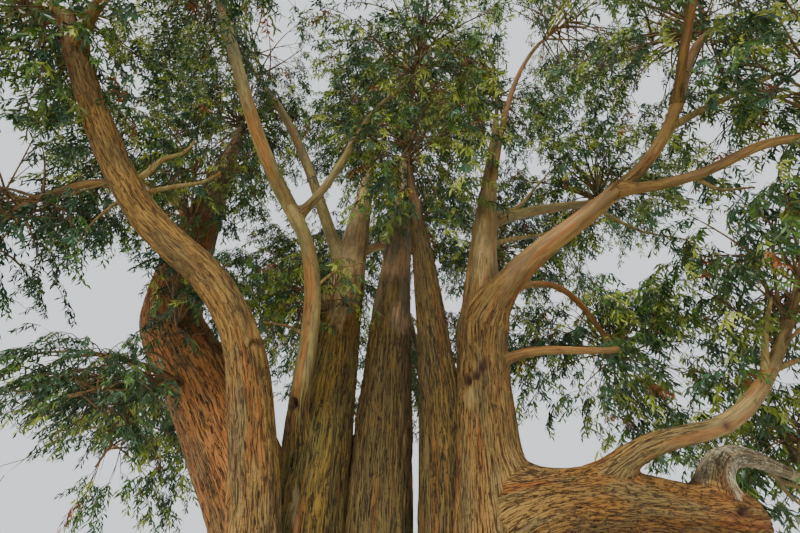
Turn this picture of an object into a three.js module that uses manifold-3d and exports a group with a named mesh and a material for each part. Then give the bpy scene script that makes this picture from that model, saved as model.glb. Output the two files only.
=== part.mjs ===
// An old many-stemmed gum tree: six stems rise from one spreading root crown, carry boughs to all
// sides, and each bough ends in a mass of twigs and drooping leaves.
// Millimetres, +Z up. The origin is the middle of the flat cut at ground level; the tree's front,
// where the crown hangs lowest, looks along -Y, and +X is to its right.

import * as THREE from "three";
import { mergeVertices } from "three/addons/utils/BufferGeometryUtils.js";
import Module from "manifold-3d";

const wasm = await Module();
wasm.setup();

// Driving sizes
const GAP = 0.4; // clearance between two pieces that meet
const ROOT_TOP = 900; // height at which the stems part from the root crown
const FOOT_SPREAD = 1.5; // width of a foot at the ground, as a share of its stem's
const FOOT_SIDES = 12;
const COLLAR = 0.35; // swelling of a bough where it leaves its parent, as a share of its radius
const COLLAR_LENGTH = 0.8; // how far that swelling reaches, in bough diameters

const TWIGS = 4; // side twigs of one leaf mass
const TWIG_REACH = [0.7, 0.62, 0.54, 0.46]; // how far out a side twig may end, as a share of its space
const TWIG_LEAF_PLACES = [0.5, 0.97]; // where leaves stand along a side twig
const STEM_LEAF_PLACES = [0.35, 0.55, 0.78, 0.98]; // and along the mass's own stem
const LEAF_REACH = 0.985; // how far out the leaves at the twigs' ends reach
const LEAF_LENGTH = 2100; // a leaf stands for a hanging spray of real ones
const LEAF_WIDTH = 950;
const LEAF_THICKNESS = 40;
const LEAF_SHOULDER = 0.45; // the widest place, as a share of the length
const LEAF_OUTWARD = 0.7; // a hanging leaf points outward this much
const LEAF_DOWNWARD = 0.6; // downward this much
const LEAF_CHANCE = 2; // and by chance this much
const END_LEAF_OUTWARD = 0.3; // the pull outward of the leaf that ends a twig
const LEAF_SHARES = [0.2, LEAF_SHOULDER, 0.6, 0.8, 1]; // places down a leaf that keep off the wood
const LEAF_SPOTS = [0.4, 0.7, 1]; // places down a leaf that are kept clear of other leaves
const LEAF_APART = 380; // the least distance between those places
const LENGTH_STEP = 10;
const LEAF_ATTEMPTS = 16; // tries to find room for a leaf
const LEAF_SHRINK = 0.4; // how much smaller the last try is than the first
const MOST_SHRINK = 0.65; // and how much smaller a leaf that ends a twig may be
const TWIG_ROOT = 30; // radii of a three-sided side twig
const TWIG_TIP = 26;
const STEM_ROOT = 80; // radii of a mass's own stem
const STEM_END = 58;
const TWIG_ARCH = 0.12; // how high a twig arches, as a share of its length
const TWIG_FOOT = [0.15, 0.8]; // first place for a side twig on a mass's stem, and the stretch it may use
const STEM_AHEAD = 0.45; // how far a mass's stem holds its limb's heading, as a share of its length
const STEM_BEYOND = 0.35; // how far it runs past the middle of its space, as a share of the way there
const SPACE_MARGIN = 0.06; // a share of a mass's half size that stays free along its neighbours
const LIMB_PAD = 70; // free way round a limb
const LIMB_STEPS = 24; // steps along a limb at which that way is measured
const FIRST_SEED = 201;
const CROWN_MIDDLE = new THREE.Vector3(-500, 1000, 8500); // masses reach outward from here

const BARK = new THREE.MeshStandardMaterial({ color: 0x8a6a45, roughness: 0.95, metalness: 0 });
const PALE_BARK = new THREE.MeshStandardMaterial({ color: 0xb59a68, roughness: 0.8, metalness: 0 });
const FOLIAGE = new THREE.MeshStandardMaterial({ color: 0x55683f, roughness: 0.7, metalness: 0 });

// Stems: where each stands on the root crown, its tip, the way it sets out from the foot (lead) and
// arrives at the tip (trail), and its diameters at foot and tip. A taper above 1 keeps the girth low
// down and narrows it near the top.
const STEMS = [
  {
    name: "stem_far_left", foot: [-1220, 560], tip: [-5300, 2450, 12400],
    lead: [-4240, 1200, 6950], trail: [-670, 1520, 10570], thick: 1300, thin: 220, taper: 2.2,
  },
  {
    name: "stem_near_left", foot: [-1580, -500], tip: [-2150, -780, 3750],
    lead: [0, -70, 1140], trail: [-260, -230, 1080], thick: 620, thin: 540, taper: 1,
  },
  {
    name: "stem_mid_left", foot: [-1200, 150], tip: [-1000, 3300, 13000],
    lead: [-180, 500, 4330], trail: [-50, 720, 4260], thick: 1150, thin: 180, taper: 1.15,
  },
  {
    name: "stem_leader", foot: [-310, 300], tip: [300, 4000, 16000],
    lead: [50, 360, 5460], trail: [40, 310, 5470], thick: 1000, thin: 170, taper: 1,
  },
  {
    name: "stem_slim", foot: [470, 0], tip: [220, 680, 8900],
    lead: [320, 90, 2820], trail: [-190, 290, 2820], thick: 710, thin: 120, taper: 1.6,
  },
  {
    name: "stem_right", foot: [1180, -150], tip: [2950, 1500, 12200],
    lead: [-160, 90, 4110], trail: [790, 330, 3940], thick: 1220, thin: 120, taper: 0.7,
  },
];

// Boughs: the limb each grows on, how far along that limb, and the same sizes
const BOUGHS = [
  {
    name: "bough_near_left", on: "stem_near_left", at: 0.965, tip: [-6000, -2450, 9200],
    lead: [-1110, -630, 2220], trail: [-2220, -1830, 5080], thick: 480, thin: 360, taper: 2, knee: true,
  },
  {
    name: "bough_hanging_left", on: "bough_near_left", at: 0.46, tip: [-5700, -1200, 6200],
    lead: [-500, 100, 400], trail: [-600, 0, -400], thick: 180, thin: 110,
  },
  {
    name: "bough_front_left", on: "bough_near_left", at: 0.9, tip: [-3200, -4200, 9000],
    lead: [300, -700, 700], trail: [900, -900, 200], thick: 200, thin: 130,
  },
  {
    name: "bough_pale", on: "stem_mid_left", at: 0.161, tip: [-2040, -450, 6550],
    lead: [-680, -800, -310], trail: [-1270, -160, 1790], thick: 290, thin: 250, pale: true,
  },
  {
    name: "bough_pale_upper", on: "bough_pale", at: 0.976, tip: [-3760, -1900, 10700],
    lead: [-840, -590, 1270], trail: [-570, -290, 1490], thick: 280, thin: 230, pale: true, knee: true,
  },
  {
    name: "bough_pale_side", on: "bough_pale", at: 0.945, tip: [0, -500, 10240],
    lead: [950, -100, 1140], trail: [1070, -20, 1080], thick: 170, thin: 90, pale: true,
  },
  {
    name: "bough_steep_left", on: "stem_mid_left", at: 0.457, tip: [-3900, 1200, 12600],
    lead: [-860, 120, 2140], trail: [-1290, -270, 1950], thick: 320, thin: 220, pale: true,
  },
  {
    name: "bough_wand", on: "stem_right", at: 0.563, tip: [4500, 800, 14800],
    lead: [710, 210, 2610], trail: [1500, 70, 2330], thick: 200, thin: 120, pale: true,
  },
  {
    name: "bough_right", on: "stem_right", at: 0.323, tip: [3740, -1150, 6420],
    lead: [390, -640, 1090], trail: [800, -650, 610], thick: 520, thin: 250, pale: true,
  },
  {
    name: "bough_right_upper", on: "bough_right", at: 0.951, tip: [6200, -1900, 9900],
    lead: [1510, -560, 970], trail: [1050, -30, 950], thick: 220, thin: 140, pale: true, knee: true,
  },
  {
    name: "bough_right_level", on: "bough_right", at: 0.97, tip: [6300, -2200, 6300],
    lead: [1500, -780, -560], trail: [1400, -70, -260], thick: 180, thin: 120, pale: true,
  },
  {
    name: "bough_front_right", on: "bough_right_upper", at: 0.489, tip: [4600, -4000, 9000],
    lead: [-100, -800, 600], trail: [0, -700, 300], thick: 170, thin: 120, pale: true,
  },
  {
    name: "bough_far_right", on: "stem_right", at: 0.556, tip: [5400, 2200, 9200],
    lead: [640, 400, 870], trail: [650, 610, 700], thick: 280, thin: 160, pale: true,
  },
  {
    name: "bough_arched", on: "stem_right", at: 0.386, tip: [4400, 1900, 4900],
    lead: [1370, 140, 650], trail: [920, 770, -1200], thick: 150, thin: 110, pale: true,
  },
  {
    name: "bough_bare", on: "stem_right", at: 0.256, tip: [3500, 0, 3970],
    lead: [620, -260, 620], trail: [740, -10, 130], thick: 170, thin: 100, pale: true,
  },
  {
    name: "bough_back_right", on: "stem_right", at: 0.642, tip: [3100, 4900, 9600],
    lead: [300, 1100, 1000], trail: [500, 1500, 0], thick: 260, thin: 150,
  },
  {
    name: "bough_low", on: "stem_right", at: 0.083, tip: [4620, 20, 1670],
    lead: [400, -680, 740], trail: [690, -60, 40], thick: 840, thin: 540, knee: true,
  },
  {
    name: "bough_low_upper", on: "bough_low", at: 0.33, tip: [5200, -500, 3420],
    lead: [1430, -170, 1240], trail: [1310, -10, 1340], thick: 320, thin: 190, pale: true,
  },
  {
    name: "bough_low_end", on: "bough_low", at: 0.83, tip: [5500, 350, 2250],
    lead: [250, 50, 750], trail: [900, 250, -350], thick: 420, thin: 160,
  },
  {
    name: "bough_back_left_low", on: "stem_far_left", at: 0.496, tip: [-6200, 3600, 4600],
    lead: [-500, 700, 500], trail: [-500, 700, -900], thick: 280, thin: 150,
  },
  {
    name: "bough_far_left_high", on: "stem_far_left", at: 0.655, tip: [-7400, 1800, 9700],
    lead: [-700, 0, 800], trail: [-800, 0, 300], thick: 260, thin: 150,
  },
  {
    name: "bough_back_high", on: "stem_leader", at: 0.547, tip: [600, 6300, 11700],
    lead: [0, 1300, 1500], trail: [300, 1400, 300], thick: 300, thin: 170,
  },
  {
    name: "bough_back_left", on: "stem_leader", at: 0.452, tip: [-2700, 5700, 8600],
    lead: [-700, 1000, 900], trail: [-1100, 1400, -100], thick: 280, thin: 160,
  },
  {
    name: "bough_back_low", on: "stem_leader", at: 0.304, tip: [500, 5600, 6300],
    lead: [100, 1300, 900], trail: [200, 1600, -500], thick: 240, thin: 140,
  },
];

// Leaf masses: name, the limb each ends, and the middle and half sizes of the space that it fills.
// A mass with "at" starts on the side of a stem instead and heads the way of "side".
const MASSES = [
  ["leaves_far_left", "stem_far_left", [-5800, 3000, 13800], [3100, 3000, 2700]],
  ["leaves_near_left", "bough_near_left", [-6800, -2500, 9500], [2900, 2800, 2700]],
  ["leaves_hanging_left", "bough_hanging_left", [-6800, -900, 5700], [2500, 2300, 1900]],
  [
    "leaves_hanging_front", "stem_far_left", [-4150, -950, 2950], [1200, 1100, 800],
    { at: 0.3, side: [-0.15, -1, -0.1] },
  ],
  ["leaves_front_left", "bough_front_left", [-2900, -4700, 10000], [2900, 2400, 2300]],
  ["leaves_mid_left", "stem_mid_left", [-1300, 3700, 14500], [2900, 2800, 2600]],
  ["leaves_pale_upper", "bough_pale_upper", [-4400, -2500, 11900], [2700, 2500, 2300]],
  ["leaves_pale_side", "bough_pale_side", [400, -1100, 11400], [2600, 2400, 2100]],
  ["leaves_steep_left", "bough_steep_left", [-5000, 200, 13800], [2700, 2600, 2400]],
  [
    "leaves_inner", "stem_far_left", [-4600, 200, 8600], [1800, 1300, 1600],
    { at: 0.6, side: [0.2, -1, 0.5] },
  ],
  ["leaves_slim", "stem_slim", [300, 0, 9000], [2200, 1700, 2500]],
  ["leaves_right", "stem_right", [3100, 1700, 13800], [2700, 2700, 2600]],
  ["leaves_wand", "bough_wand", [5500, 400, 15400], [2800, 2600, 2400]],
  ["leaves_right_upper", "bough_right_upper", [6100, -1200, 11000], [2800, 2600, 2500]],
  ["leaves_right_level", "bough_right_level", [6700, -2300, 7800], [2400, 2500, 1900]],
  ["leaves_front_right", "bough_front_right", [4300, -4600, 9900], [2800, 2400, 2300]],
  ["leaves_far_right", "bough_far_right", [6000, 2800, 10000], [3300, 2900, 2800]],
  ["leaves_arched", "bough_arched", [4900, 2900, 5000], [3000, 2400, 2300]],
  ["leaves_back_right", "bough_back_right", [3600, 5800, 10400], [3100, 2900, 2700]],
  ["leaves_low_upper", "bough_low_upper", [6600, -600, 5300], [2400, 2300, 2200]],
  ["leaves_low_end", "bough_low_end", [6600, 1000, 2800], [2300, 2100, 1500]],
  ["leaves_back_left_low", "bough_back_left_low", [-6900, 4200, 3300], [2700, 2500, 1900]],
  ["leaves_far_left_high", "bough_far_left_high", [-7900, 1800, 10000], [2400, 2600, 2500]],
  [
    "leaves_stem_tuft", "stem_far_left", [-3900, -100, 5100], [1400, 1100, 1100],
    { at: 0.38, side: [0.1, -1, 0.3] },
  ],
  ["leaves_leader", "stem_leader", [300, 3700, 17400], [3300, 3100, 2600]],
  ["leaves_back_high", "bough_back_high", [700, 6700, 12600], [3100, 2700, 2700]],
  ["leaves_back_left", "bough_back_left", [-3200, 6200, 8500], [3000, 2800, 3100]],
  ["leaves_back_low", "bough_back_low", [900, 6400, 5700], [3200, 2500, 2300]],
  [
    "leaves_mid_tuft", "stem_mid_left", [-1700, 300, 4900], [1100, 700, 1200],
    { at: 0.36, side: [-0.2, -1, 0.4] },
  ],
].map(([name, on, middle, half, from = {}]) => ({ name, on, middle, half, ...from }));

const vector = (list) => new THREE.Vector3(...list);

// Random numbers from 0 to 1 that are the same on every run
function seeded(seed) {
  let state = seed >>> 0;
  return () => {
    state = (state + 0x6d2b79f5) >>> 0;
    let mixed = Math.imul(state ^ (state >>> 15), 1 | state);
    mixed = (mixed + Math.imul(mixed ^ (mixed >>> 7), 61 | mixed)) ^ mixed;
    return ((mixed ^ (mixed >>> 14)) >>> 0) / 4294967296;
  };
}

// A closed three.js geometry as a solid that can be cut and joined
function toSolid(geometry) {
  const bare = geometry.clone();
  bare.deleteAttribute("normal");
  bare.deleteAttribute("uv");
  const merged = mergeVertices(bare, 1e-3);
  return new wasm.Manifold(
    new wasm.Mesh({
      numProp: 3,
      vertProperties: new Float32Array(merged.attributes.position.array),
      triVerts: new Uint32Array(merged.index.array),
    }),
  );
}

function toGeometry(solid) {
  const mesh = solid.getMesh();
  const geometry = new THREE.BufferGeometry();
  geometry.setAttribute("position", new THREE.BufferAttribute(mesh.vertProperties, 3));
  geometry.setIndex(new THREE.BufferAttribute(mesh.triVerts, 1));
  geometry.computeVertexNormals();
  return geometry;
}

// The largest of the pieces that a cut leaves
function mainBody(solid) {
  const bodies = solid.decompose();
  return bodies.reduce((best, body) => (body.volume() > best.volume() ? body : best));
}

// A curve that sets out from its foot along lead and comes to its tip along trail
function sweptCurve(foot, tip, lead, trail) {
  return new THREE.CubicBezierCurve3(foot, foot.clone().add(lead), tip.clone().sub(trail), tip);
}

// A cylinder bent along a curve, its radius given by how far along it is, and drawn out at both ends
// by a reach
function bentTube(curve, sides, rings, radiusAt, reach = 0) {
  const tube = new THREE.CylinderGeometry(1, 1, 1, sides, rings);
  const frames = curve.computeFrenetFrames(rings, false);
  const places = tube.attributes.position;
  for (let i = 0; i < places.count; i += 1) {
    const ring = Math.round((places.getY(i) + 0.5) * rings);
    const radius = radiusAt(ring / rings);
    const drawnOut = ring === 0 ? -reach : ring === rings ? reach : 0;
    const place = curve
      .getPointAt(ring / rings)
      .addScaledVector(frames.tangents[ring], drawnOut)
      .addScaledVector(frames.binormals[ring], places.getX(i) * radius)
      .addScaledVector(frames.normals[ring], places.getZ(i) * radius);
    places.setXYZ(i, place.x, place.y, place.z);
  }
  return tube;
}

// Works out a limb's curve, length and radius from its named sizes. A bough swells into a collar
// where it leaves its parent, except at a knee, where it carries its parent's line on.
function plan(limb, foot, parentRadius) {
  const curve = sweptCurve(foot, vector(limb.tip), vector(limb.lead), vector(limb.trail));
  const length = curve.getLength();
  const isStem = !limb.on;
  const collar = isStem || limb.knee ? 0 : COLLAR;
  const radiusAt = (along) => {
    const plain = (limb.thick + (limb.thin - limb.thick) * along ** (limb.taper ?? 1)) / 2;
    const beyond = Math.max(along * length - parentRadius, 0);
    return plain * (1 + collar * Math.exp(-beyond / (COLLAR_LENGTH * limb.thick)));
  };
  return { ...limb, curve, length, radiusAt, isStem };
}

function limbSolid(limb, extra = 0) {
  const sides = limb.isStem ? 12 : limb.thick > 250 ? 8 : 6;
  const rings = limb.isStem ? 9 : THREE.MathUtils.clamp(Math.round(limb.length / 750), 4, 9);
  return toSolid(bentTube(limb.curve, sides, rings, (along) => limb.radiusAt(along) + extra, extra));
}

const planned = new Map();
for (const stem of STEMS) {
  const foot = new THREE.Vector3(stem.foot[0], stem.foot[1], ROOT_TOP / 2);
  planned.set(stem.name, plan(stem, foot, 0));
}
for (const bough of BOUGHS) {
  const parent = planned.get(bough.on);
  const foot = parent.curve.getPointAt(bough.at);
  planned.set(bough.name, plan(bough, foot, parent.radiusAt(bough.at)));
}

// The root crown: a flared foot under each stem, fused into one block with a flat cut at the ground
function rootCrown() {
  const feet = STEMS.map((stem) => {
    const radius = planned.get(stem.name).radiusAt(0);
    const profile = [
      [0, 0],
      [FOOT_SPREAD, 0],
      [1 + (FOOT_SPREAD - 1) * 0.5, 0.22],
      [1 + (FOOT_SPREAD - 1) * 0.18, 0.6],
      [1.02, 1],
      [0, 1],
    ].map(([out, up]) => new THREE.Vector2(out * radius, up * ROOT_TOP));
    const foot = new THREE.LatheGeometry(profile, FOOT_SIDES);
    foot.rotateX(Math.PI / 2);
    foot.translate(stem.foot[0], stem.foot[1], 0);
    return toSolid(foot);
  });
  return wasm.Manifold.union(feet);
}

const tree = new THREE.Group();

function addNode(name, solid, material) {
  const mesh = new THREE.Mesh(toGeometry(solid), material);
  mesh.name = name;
  tree.add(mesh);
}

addNode("root_crown", rootCrown(), BARK);

// Everything below the top of the root crown, to cut a stem's foot level and clear of it
const lowBox = new THREE.BoxGeometry(8000, 8000, 2000).translate(0, 0, ROOT_TOP + GAP - 1000);
const belowRootTop = toSolid(lowBox);

// Each limb is cut clear of the ones before it
const earlier = [];
for (const limb of planned.values()) {
  let solid = limbSolid(limb);
  if (limb.isStem) solid = solid.subtract(belowRootTop);
  for (const other of earlier) solid = solid.subtract(other);
  solid = mainBody(solid);
  earlier.push(limbSolid(limb, GAP));
  addNode(limb.name, solid, limb.pale ? PALE_BARK : BARK);
}

// Points along each limb with the radius there, to keep twigs and leaves off the wood
const wood = [...planned.values()].flatMap((limb) =>
  Array.from({ length: LIMB_STEPS + 1 }, (_, i) => ({
    place: limb.curve.getPointAt(i / LIMB_STEPS),
    radius: limb.radiusAt(i / LIMB_STEPS) + limb.length / LIMB_STEPS / 2,
  })),
);

const spaces = MASSES.map((mass) => {
  const limb = planned.get(mass.on);
  const heading = mass.side ? vector(mass.side).normalize() : limb.curve.getTangentAt(1);
  const start = limb.curve.getPointAt(mass.at ?? 1).addScaledVector(heading, mass.side ? 0 : GAP);
  return { ...mass, start, heading, middle: vector(mass.middle), half: vector(mass.half) };
});

// How far out a point is in a mass's space: 0 in the middle, 1 on the surface
function depthIn(space, point) {
  return point.clone().sub(space.middle).divide(space.half).length();
}

function staysInside(space, point, pad) {
  const depth = depthIn(space, point);
  if (depth > 1) return false;
  if (spaces.some((other) => other !== space && depthIn(other, point) < depth + SPACE_MARGIN)) return false;
  return wood.every((spot) => spot.place.distanceTo(point) > spot.radius + pad);
}

// The corners of a leaf: its root inside the twig, its two sides at the shoulder, and its tip
function leafFrame(root, direction, length, roll) {
  const turn = new THREE.Quaternion().setFromUnitVectors(new THREE.Vector3(0, 1, 0), direction);
  const across = new THREE.Vector3(Math.cos(roll), 0, Math.sin(roll)).applyQuaternion(turn);
  const shoulder = root.clone().addScaledVector(direction, length * LEAF_SHOULDER);
  return { root, direction, length, across, shoulder, tip: root.clone().addScaledVector(direction, length) };
}

// Half the width of a leaf at a share of its length
function halfWidthAt(leaf, share) {
  const widest = (LEAF_WIDTH / 2) * (leaf.length / LEAF_LENGTH);
  return widest * Math.min(share / LEAF_SHOULDER, (1 - share) / (1 - LEAF_SHOULDER));
}

// Whether a net of points over the whole leaf stays inside the space and off the wood
function leafFits(space, leaf) {
  return LEAF_SHARES.every((share) => {
    const middle = leaf.root.clone().lerp(leaf.tip, share);
    return [-1, -0.5, 0, 0.5, 1].every((side) => {
      const place = middle.clone().addScaledVector(leaf.across, side * halfWidthAt(leaf, share));
      return staysInside(space, place, LIMB_PAD);
    });
  });
}

// A leaf: a thin blade of eight faces
function leafSolid(leaf) {
  const blade = new THREE.OctahedronGeometry(1, 0);
  const places = blade.attributes.position;
  const halfWidth = halfWidthAt(leaf, LEAF_SHOULDER);
  const through = leaf.across.clone().cross(leaf.direction).multiplyScalar(LEAF_THICKNESS / 2);
  for (let i = 0; i < places.count; i += 1) {
    const along = places.getY(i);
    const ridge = along > 0.5 ? leaf.tip : along < -0.5 ? leaf.root : leaf.shoulder;
    const place = ridge
      .clone()
      .addScaledVector(leaf.across, Math.round(places.getX(i)) * halfWidth)
      .addScaledVector(through, Math.round(places.getZ(i)));
    places.setXYZ(i, place.x, place.y, place.z);
  }
  return toSolid(blade);
}

// Evenly spread directions, turned by chance, the first of them nearest to outward
function spreadDirection(index, outward, random) {
  const height = 1 - (2 * (index + 0.4)) / TWIGS + (random() - 0.5) * 0.2;
  const turn = index * Math.PI * (3 - Math.sqrt(5)) + random() * 0.9;
  const flat = Math.sqrt(Math.max(0, 1 - height * height));
  const aim = new THREE.Vector3(Math.cos(turn) * flat, Math.sin(turn) * flat, height);
  const turned = new THREE.Quaternion().setFromUnitVectors(new THREE.Vector3(0, 0, 1), outward);
  return aim.applyQuaternion(turned);
}

// Points down the middle of a leaf that other leaves keep clear of
function leafSpots(leaf) {
  return LEAF_SPOTS.map((share) => leaf.root.clone().lerp(leaf.tip, share));
}

function clearOfLeaves(leaf, grown) {
  const taken = grown.flatMap(leafSpots);
  return leafSpots(leaf).every((spot) => taken.every((place) => place.distanceTo(spot) > LEAF_APART));
}

// How long a leaf can be before its tip reaches the surface of its space
function lengthToSurface(space, root, direction) {
  const tipDepth = (length) => depthIn(space, root.clone().addScaledVector(direction, length));
  let length = LEAF_LENGTH;
  while (length > 0 && tipDepth(length) > LEAF_REACH) length -= LENGTH_STEP;
  return length;
}

function addWhereItFits(space, leaf, grown) {
  const fits = leafFits(space, leaf) && clearOfLeaves(leaf, grown);
  if (fits) grown.push(leaf);
  return fits;
}

// A leaf at the end of a twig, whose tip reaches the surface of its space
function endLeaf(space, root, outward, grown, random) {
  const out = root.clone().sub(space.middle).divide(space.half).normalize();
  for (let attempt = 0; attempt < LEAF_ATTEMPTS; attempt += 1) {
    const chance = centred(random);
    const direction = out
      .clone()
      .addScaledVector(outward, END_LEAF_OUTWARD)
      .addScaledVector(chance, LEAF_CHANCE * (attempt / LEAF_ATTEMPTS))
      .normalize();
    const leaf = leafFrame(root, direction, lengthToSurface(space, root, direction), random() * Math.PI);
    const longEnough = leaf.length > LEAF_LENGTH * (1 - MOST_SHRINK);
    if (longEnough && addWhereItFits(space, leaf, grown)) return;
  }
}

// The largest leaf that finds room at a place, hanging outward from the middle of the space
function hangLeaf(space, root, grown, random) {
  const out = root.clone().sub(space.middle).divide(space.half).normalize();
  for (let attempt = 0; attempt < LEAF_ATTEMPTS; attempt += 1) {
    const chance = centred(random);
    const direction = out.clone().multiplyScalar(LEAF_OUTWARD).addScaledVector(chance, LEAF_CHANCE);
    direction.z -= LEAF_DOWNWARD;
    direction.normalize();
    const length = LEAF_LENGTH * (1 - LEAF_SHRINK * (attempt / LEAF_ATTEMPTS));
    const leaf = leafFrame(root, direction, length, random() * Math.PI);
    if (addWhereItFits(space, leaf, grown)) return;
  }
}

function centred(random) {
  return new THREE.Vector3(random() - 0.5, random() - 0.5, random() - 0.5);
}

// The stem of a mass, which carries its limb on through the middle of the space
function massStem({ start, heading, middle }) {
  const end = middle.clone().lerp(start, -STEM_BEYOND);
  const pull = start.clone().addScaledVector(heading, STEM_AHEAD * start.distanceTo(end));
  return new THREE.QuadraticBezierCurve3(start, pull, end);
}

// A side twig towards aim, as far out as it finds room
function sideTwig(space, root, aim) {
  const span = aim.clone().multiply(space.half);
  const hasRoom = (far) =>
    [0, 0.25, 0.5].every((back) => staysInside(space, far.clone().lerp(root, back), LIMB_PAD));
  const far = TWIG_REACH.map((share) => space.middle.clone().addScaledVector(span, share)).find(hasRoom);
  if (!far) return null;
  const arch = new THREE.Vector3(0, 0, TWIG_ARCH * root.distanceTo(far));
  const halfway = root.clone().add(far).multiplyScalar(0.5).addScaledVector(arch, 2);
  return new THREE.QuadraticBezierCurve3(root, halfway, far);
}

// One mass: its stem, side twigs to all sides, a leaf that ends each of them and leaves that hang
function growMass(space, seed) {
  const random = seeded(seed);
  const stem = massStem(space);
  const limb = planned.get(space.on);
  const rootRadius = Math.min(space.side ? STEM_ROOT : limb.thin / 2 - 4, STEM_ROOT);
  const solids = [toSolid(bentTube(stem, 3, 3, (along) => rootRadius + (STEM_END - rootRadius) * along))];
  const outward = space.middle.clone().sub(CROWN_MIDDLE).normalize();
  const leaves = [];
  endLeaf(space, stem.getPoint(STEM_LEAF_PLACES.at(-1)), outward, leaves, random);
  for (let i = 0; i < TWIGS; i += 1) {
    const aim = spreadDirection(i, outward, random);
    const twig = sideTwig(space, stem.getPoint(TWIG_FOOT[0] + TWIG_FOOT[1] * random()), aim);
    if (!twig) continue;
    solids.push(toSolid(bentTube(twig, 3, 2, (along) => TWIG_ROOT + (TWIG_TIP - TWIG_ROOT) * along)));
    endLeaf(space, twig.getPoint(TWIG_LEAF_PLACES.at(-1)), outward, leaves, random);
    for (const place of TWIG_LEAF_PLACES.slice(0, -1)) hangLeaf(space, twig.getPoint(place), leaves, random);
  }
  for (const place of STEM_LEAF_PLACES.slice(0, -1)) hangLeaf(space, stem.getPoint(place), leaves, random);
  const whole = wasm.Manifold.union([...solids, ...leaves.map(leafSolid)]);
  return mainBody(space.side ? whole.subtract(limbSolid(limb, GAP)) : whole);
}

spaces.forEach((space, index) => addNode(space.name, growMass(space, FIRST_SEED + index), FOLIAGE));

export default tree;
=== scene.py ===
# %% [markdown]
# # An old many-stemmed gum tree
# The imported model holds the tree's plain solids: a root crown, six stems, 24 boughs and 29 leaf
# masses. This lesson dresses them. Each stem and bough gets a skin with its bark's relief, and each
# leaf mass becomes boughs, twigs and hanging leaves that grow by the rule that shaped its solid.

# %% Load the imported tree
import math

import bpy
import numpy as np
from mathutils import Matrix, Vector


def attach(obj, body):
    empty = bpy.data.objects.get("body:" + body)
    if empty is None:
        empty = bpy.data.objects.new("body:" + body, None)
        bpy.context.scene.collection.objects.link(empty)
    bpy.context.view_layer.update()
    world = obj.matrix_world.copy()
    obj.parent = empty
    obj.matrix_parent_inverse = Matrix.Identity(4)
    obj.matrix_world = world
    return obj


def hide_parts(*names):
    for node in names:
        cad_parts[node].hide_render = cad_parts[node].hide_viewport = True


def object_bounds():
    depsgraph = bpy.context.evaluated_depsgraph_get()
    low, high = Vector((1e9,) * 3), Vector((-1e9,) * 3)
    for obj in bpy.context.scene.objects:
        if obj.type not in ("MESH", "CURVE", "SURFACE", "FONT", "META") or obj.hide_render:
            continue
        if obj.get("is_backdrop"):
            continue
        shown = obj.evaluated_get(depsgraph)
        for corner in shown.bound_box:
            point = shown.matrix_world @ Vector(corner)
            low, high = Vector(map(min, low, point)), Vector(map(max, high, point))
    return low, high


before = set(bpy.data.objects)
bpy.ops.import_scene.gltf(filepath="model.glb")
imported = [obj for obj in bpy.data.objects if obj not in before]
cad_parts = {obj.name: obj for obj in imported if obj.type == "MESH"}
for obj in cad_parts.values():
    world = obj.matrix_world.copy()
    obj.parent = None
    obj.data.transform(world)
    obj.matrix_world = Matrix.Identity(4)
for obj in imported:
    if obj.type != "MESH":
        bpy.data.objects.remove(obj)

cad_low, cad_high = (np.array(corner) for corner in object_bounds())
bpy.ops.object.select_all(action="DESELECT")
print("packed nodes:", len(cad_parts), "box:", cad_low.round(2), cad_high.round(2))

# %% [markdown]
# ## Camera, floor and light
# The tree is seen from below its crown, by someone who stands six metres in front of the clump and
# looks up with a wide lens. A pale floor and an even pale sky stand for a studio, and one broad
# lamp from the upper left picks out the relief of the bark.

# %% Camera at the eye of someone below the crown
EYE = Vector((0.0, -6.0, 1.5))
LOOK_UP = math.radians(34)
LENS = 18.0
SENSOR = 36.0

bpy.ops.object.camera_add(location=EYE, rotation=(math.pi / 2 + LOOK_UP, 0, 0))
camera = bpy.context.object
camera.data.lens = LENS
camera.data.sensor_width = SENSOR
bpy.context.scene.camera = camera
print("camera at", tuple(EYE))

# %% Floor and light
def colour(red, green, blue):
    """A colour as a screen shows it, 0 to 255, turned into the light that it stands for."""
    def light(share):
        return share / 12.92 if share <= 0.04045 else ((share + 0.055) / 1.055) ** 2.4
    return (*(light(part / 255) for part in (red, green, blue)), 1.0)


FLOOR_SIZE = 400.0
SKY_LIGHT = 1.3
LAMP_LIGHT = 3.1
LAMP_BREADTH = math.radians(14)

bpy.ops.mesh.primitive_plane_add(size=FLOOR_SIZE)
floor = bpy.context.object
floor.name = "floor"
floor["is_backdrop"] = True

world = bpy.data.worlds.new("studio")
world.use_nodes = True
world.node_tree.nodes["Background"].inputs["Color"].default_value = colour(236, 240, 244)
world.node_tree.nodes["Background"].inputs["Strength"].default_value = SKY_LIGHT
bpy.context.scene.world = world

bpy.ops.object.light_add(type="SUN", rotation=(math.radians(38), math.radians(-28), 0))
lamp = bpy.context.object
lamp.data.energy = LAMP_LIGHT
lamp.data.angle = LAMP_BREADTH
lamp.data.color = (1.0, 0.95, 0.86)
print("floor, sky and lamp are in place")

# %% [markdown]
# ## Shader sums written as sums
# Procedural finishes are made of many small nodes. Two helpers keep them readable: a Value wraps a
# socket, so that plain arithmetic on it adds the Math nodes, and a Finish adds any other node from
# its type, its settings and what its sockets take.

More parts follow.
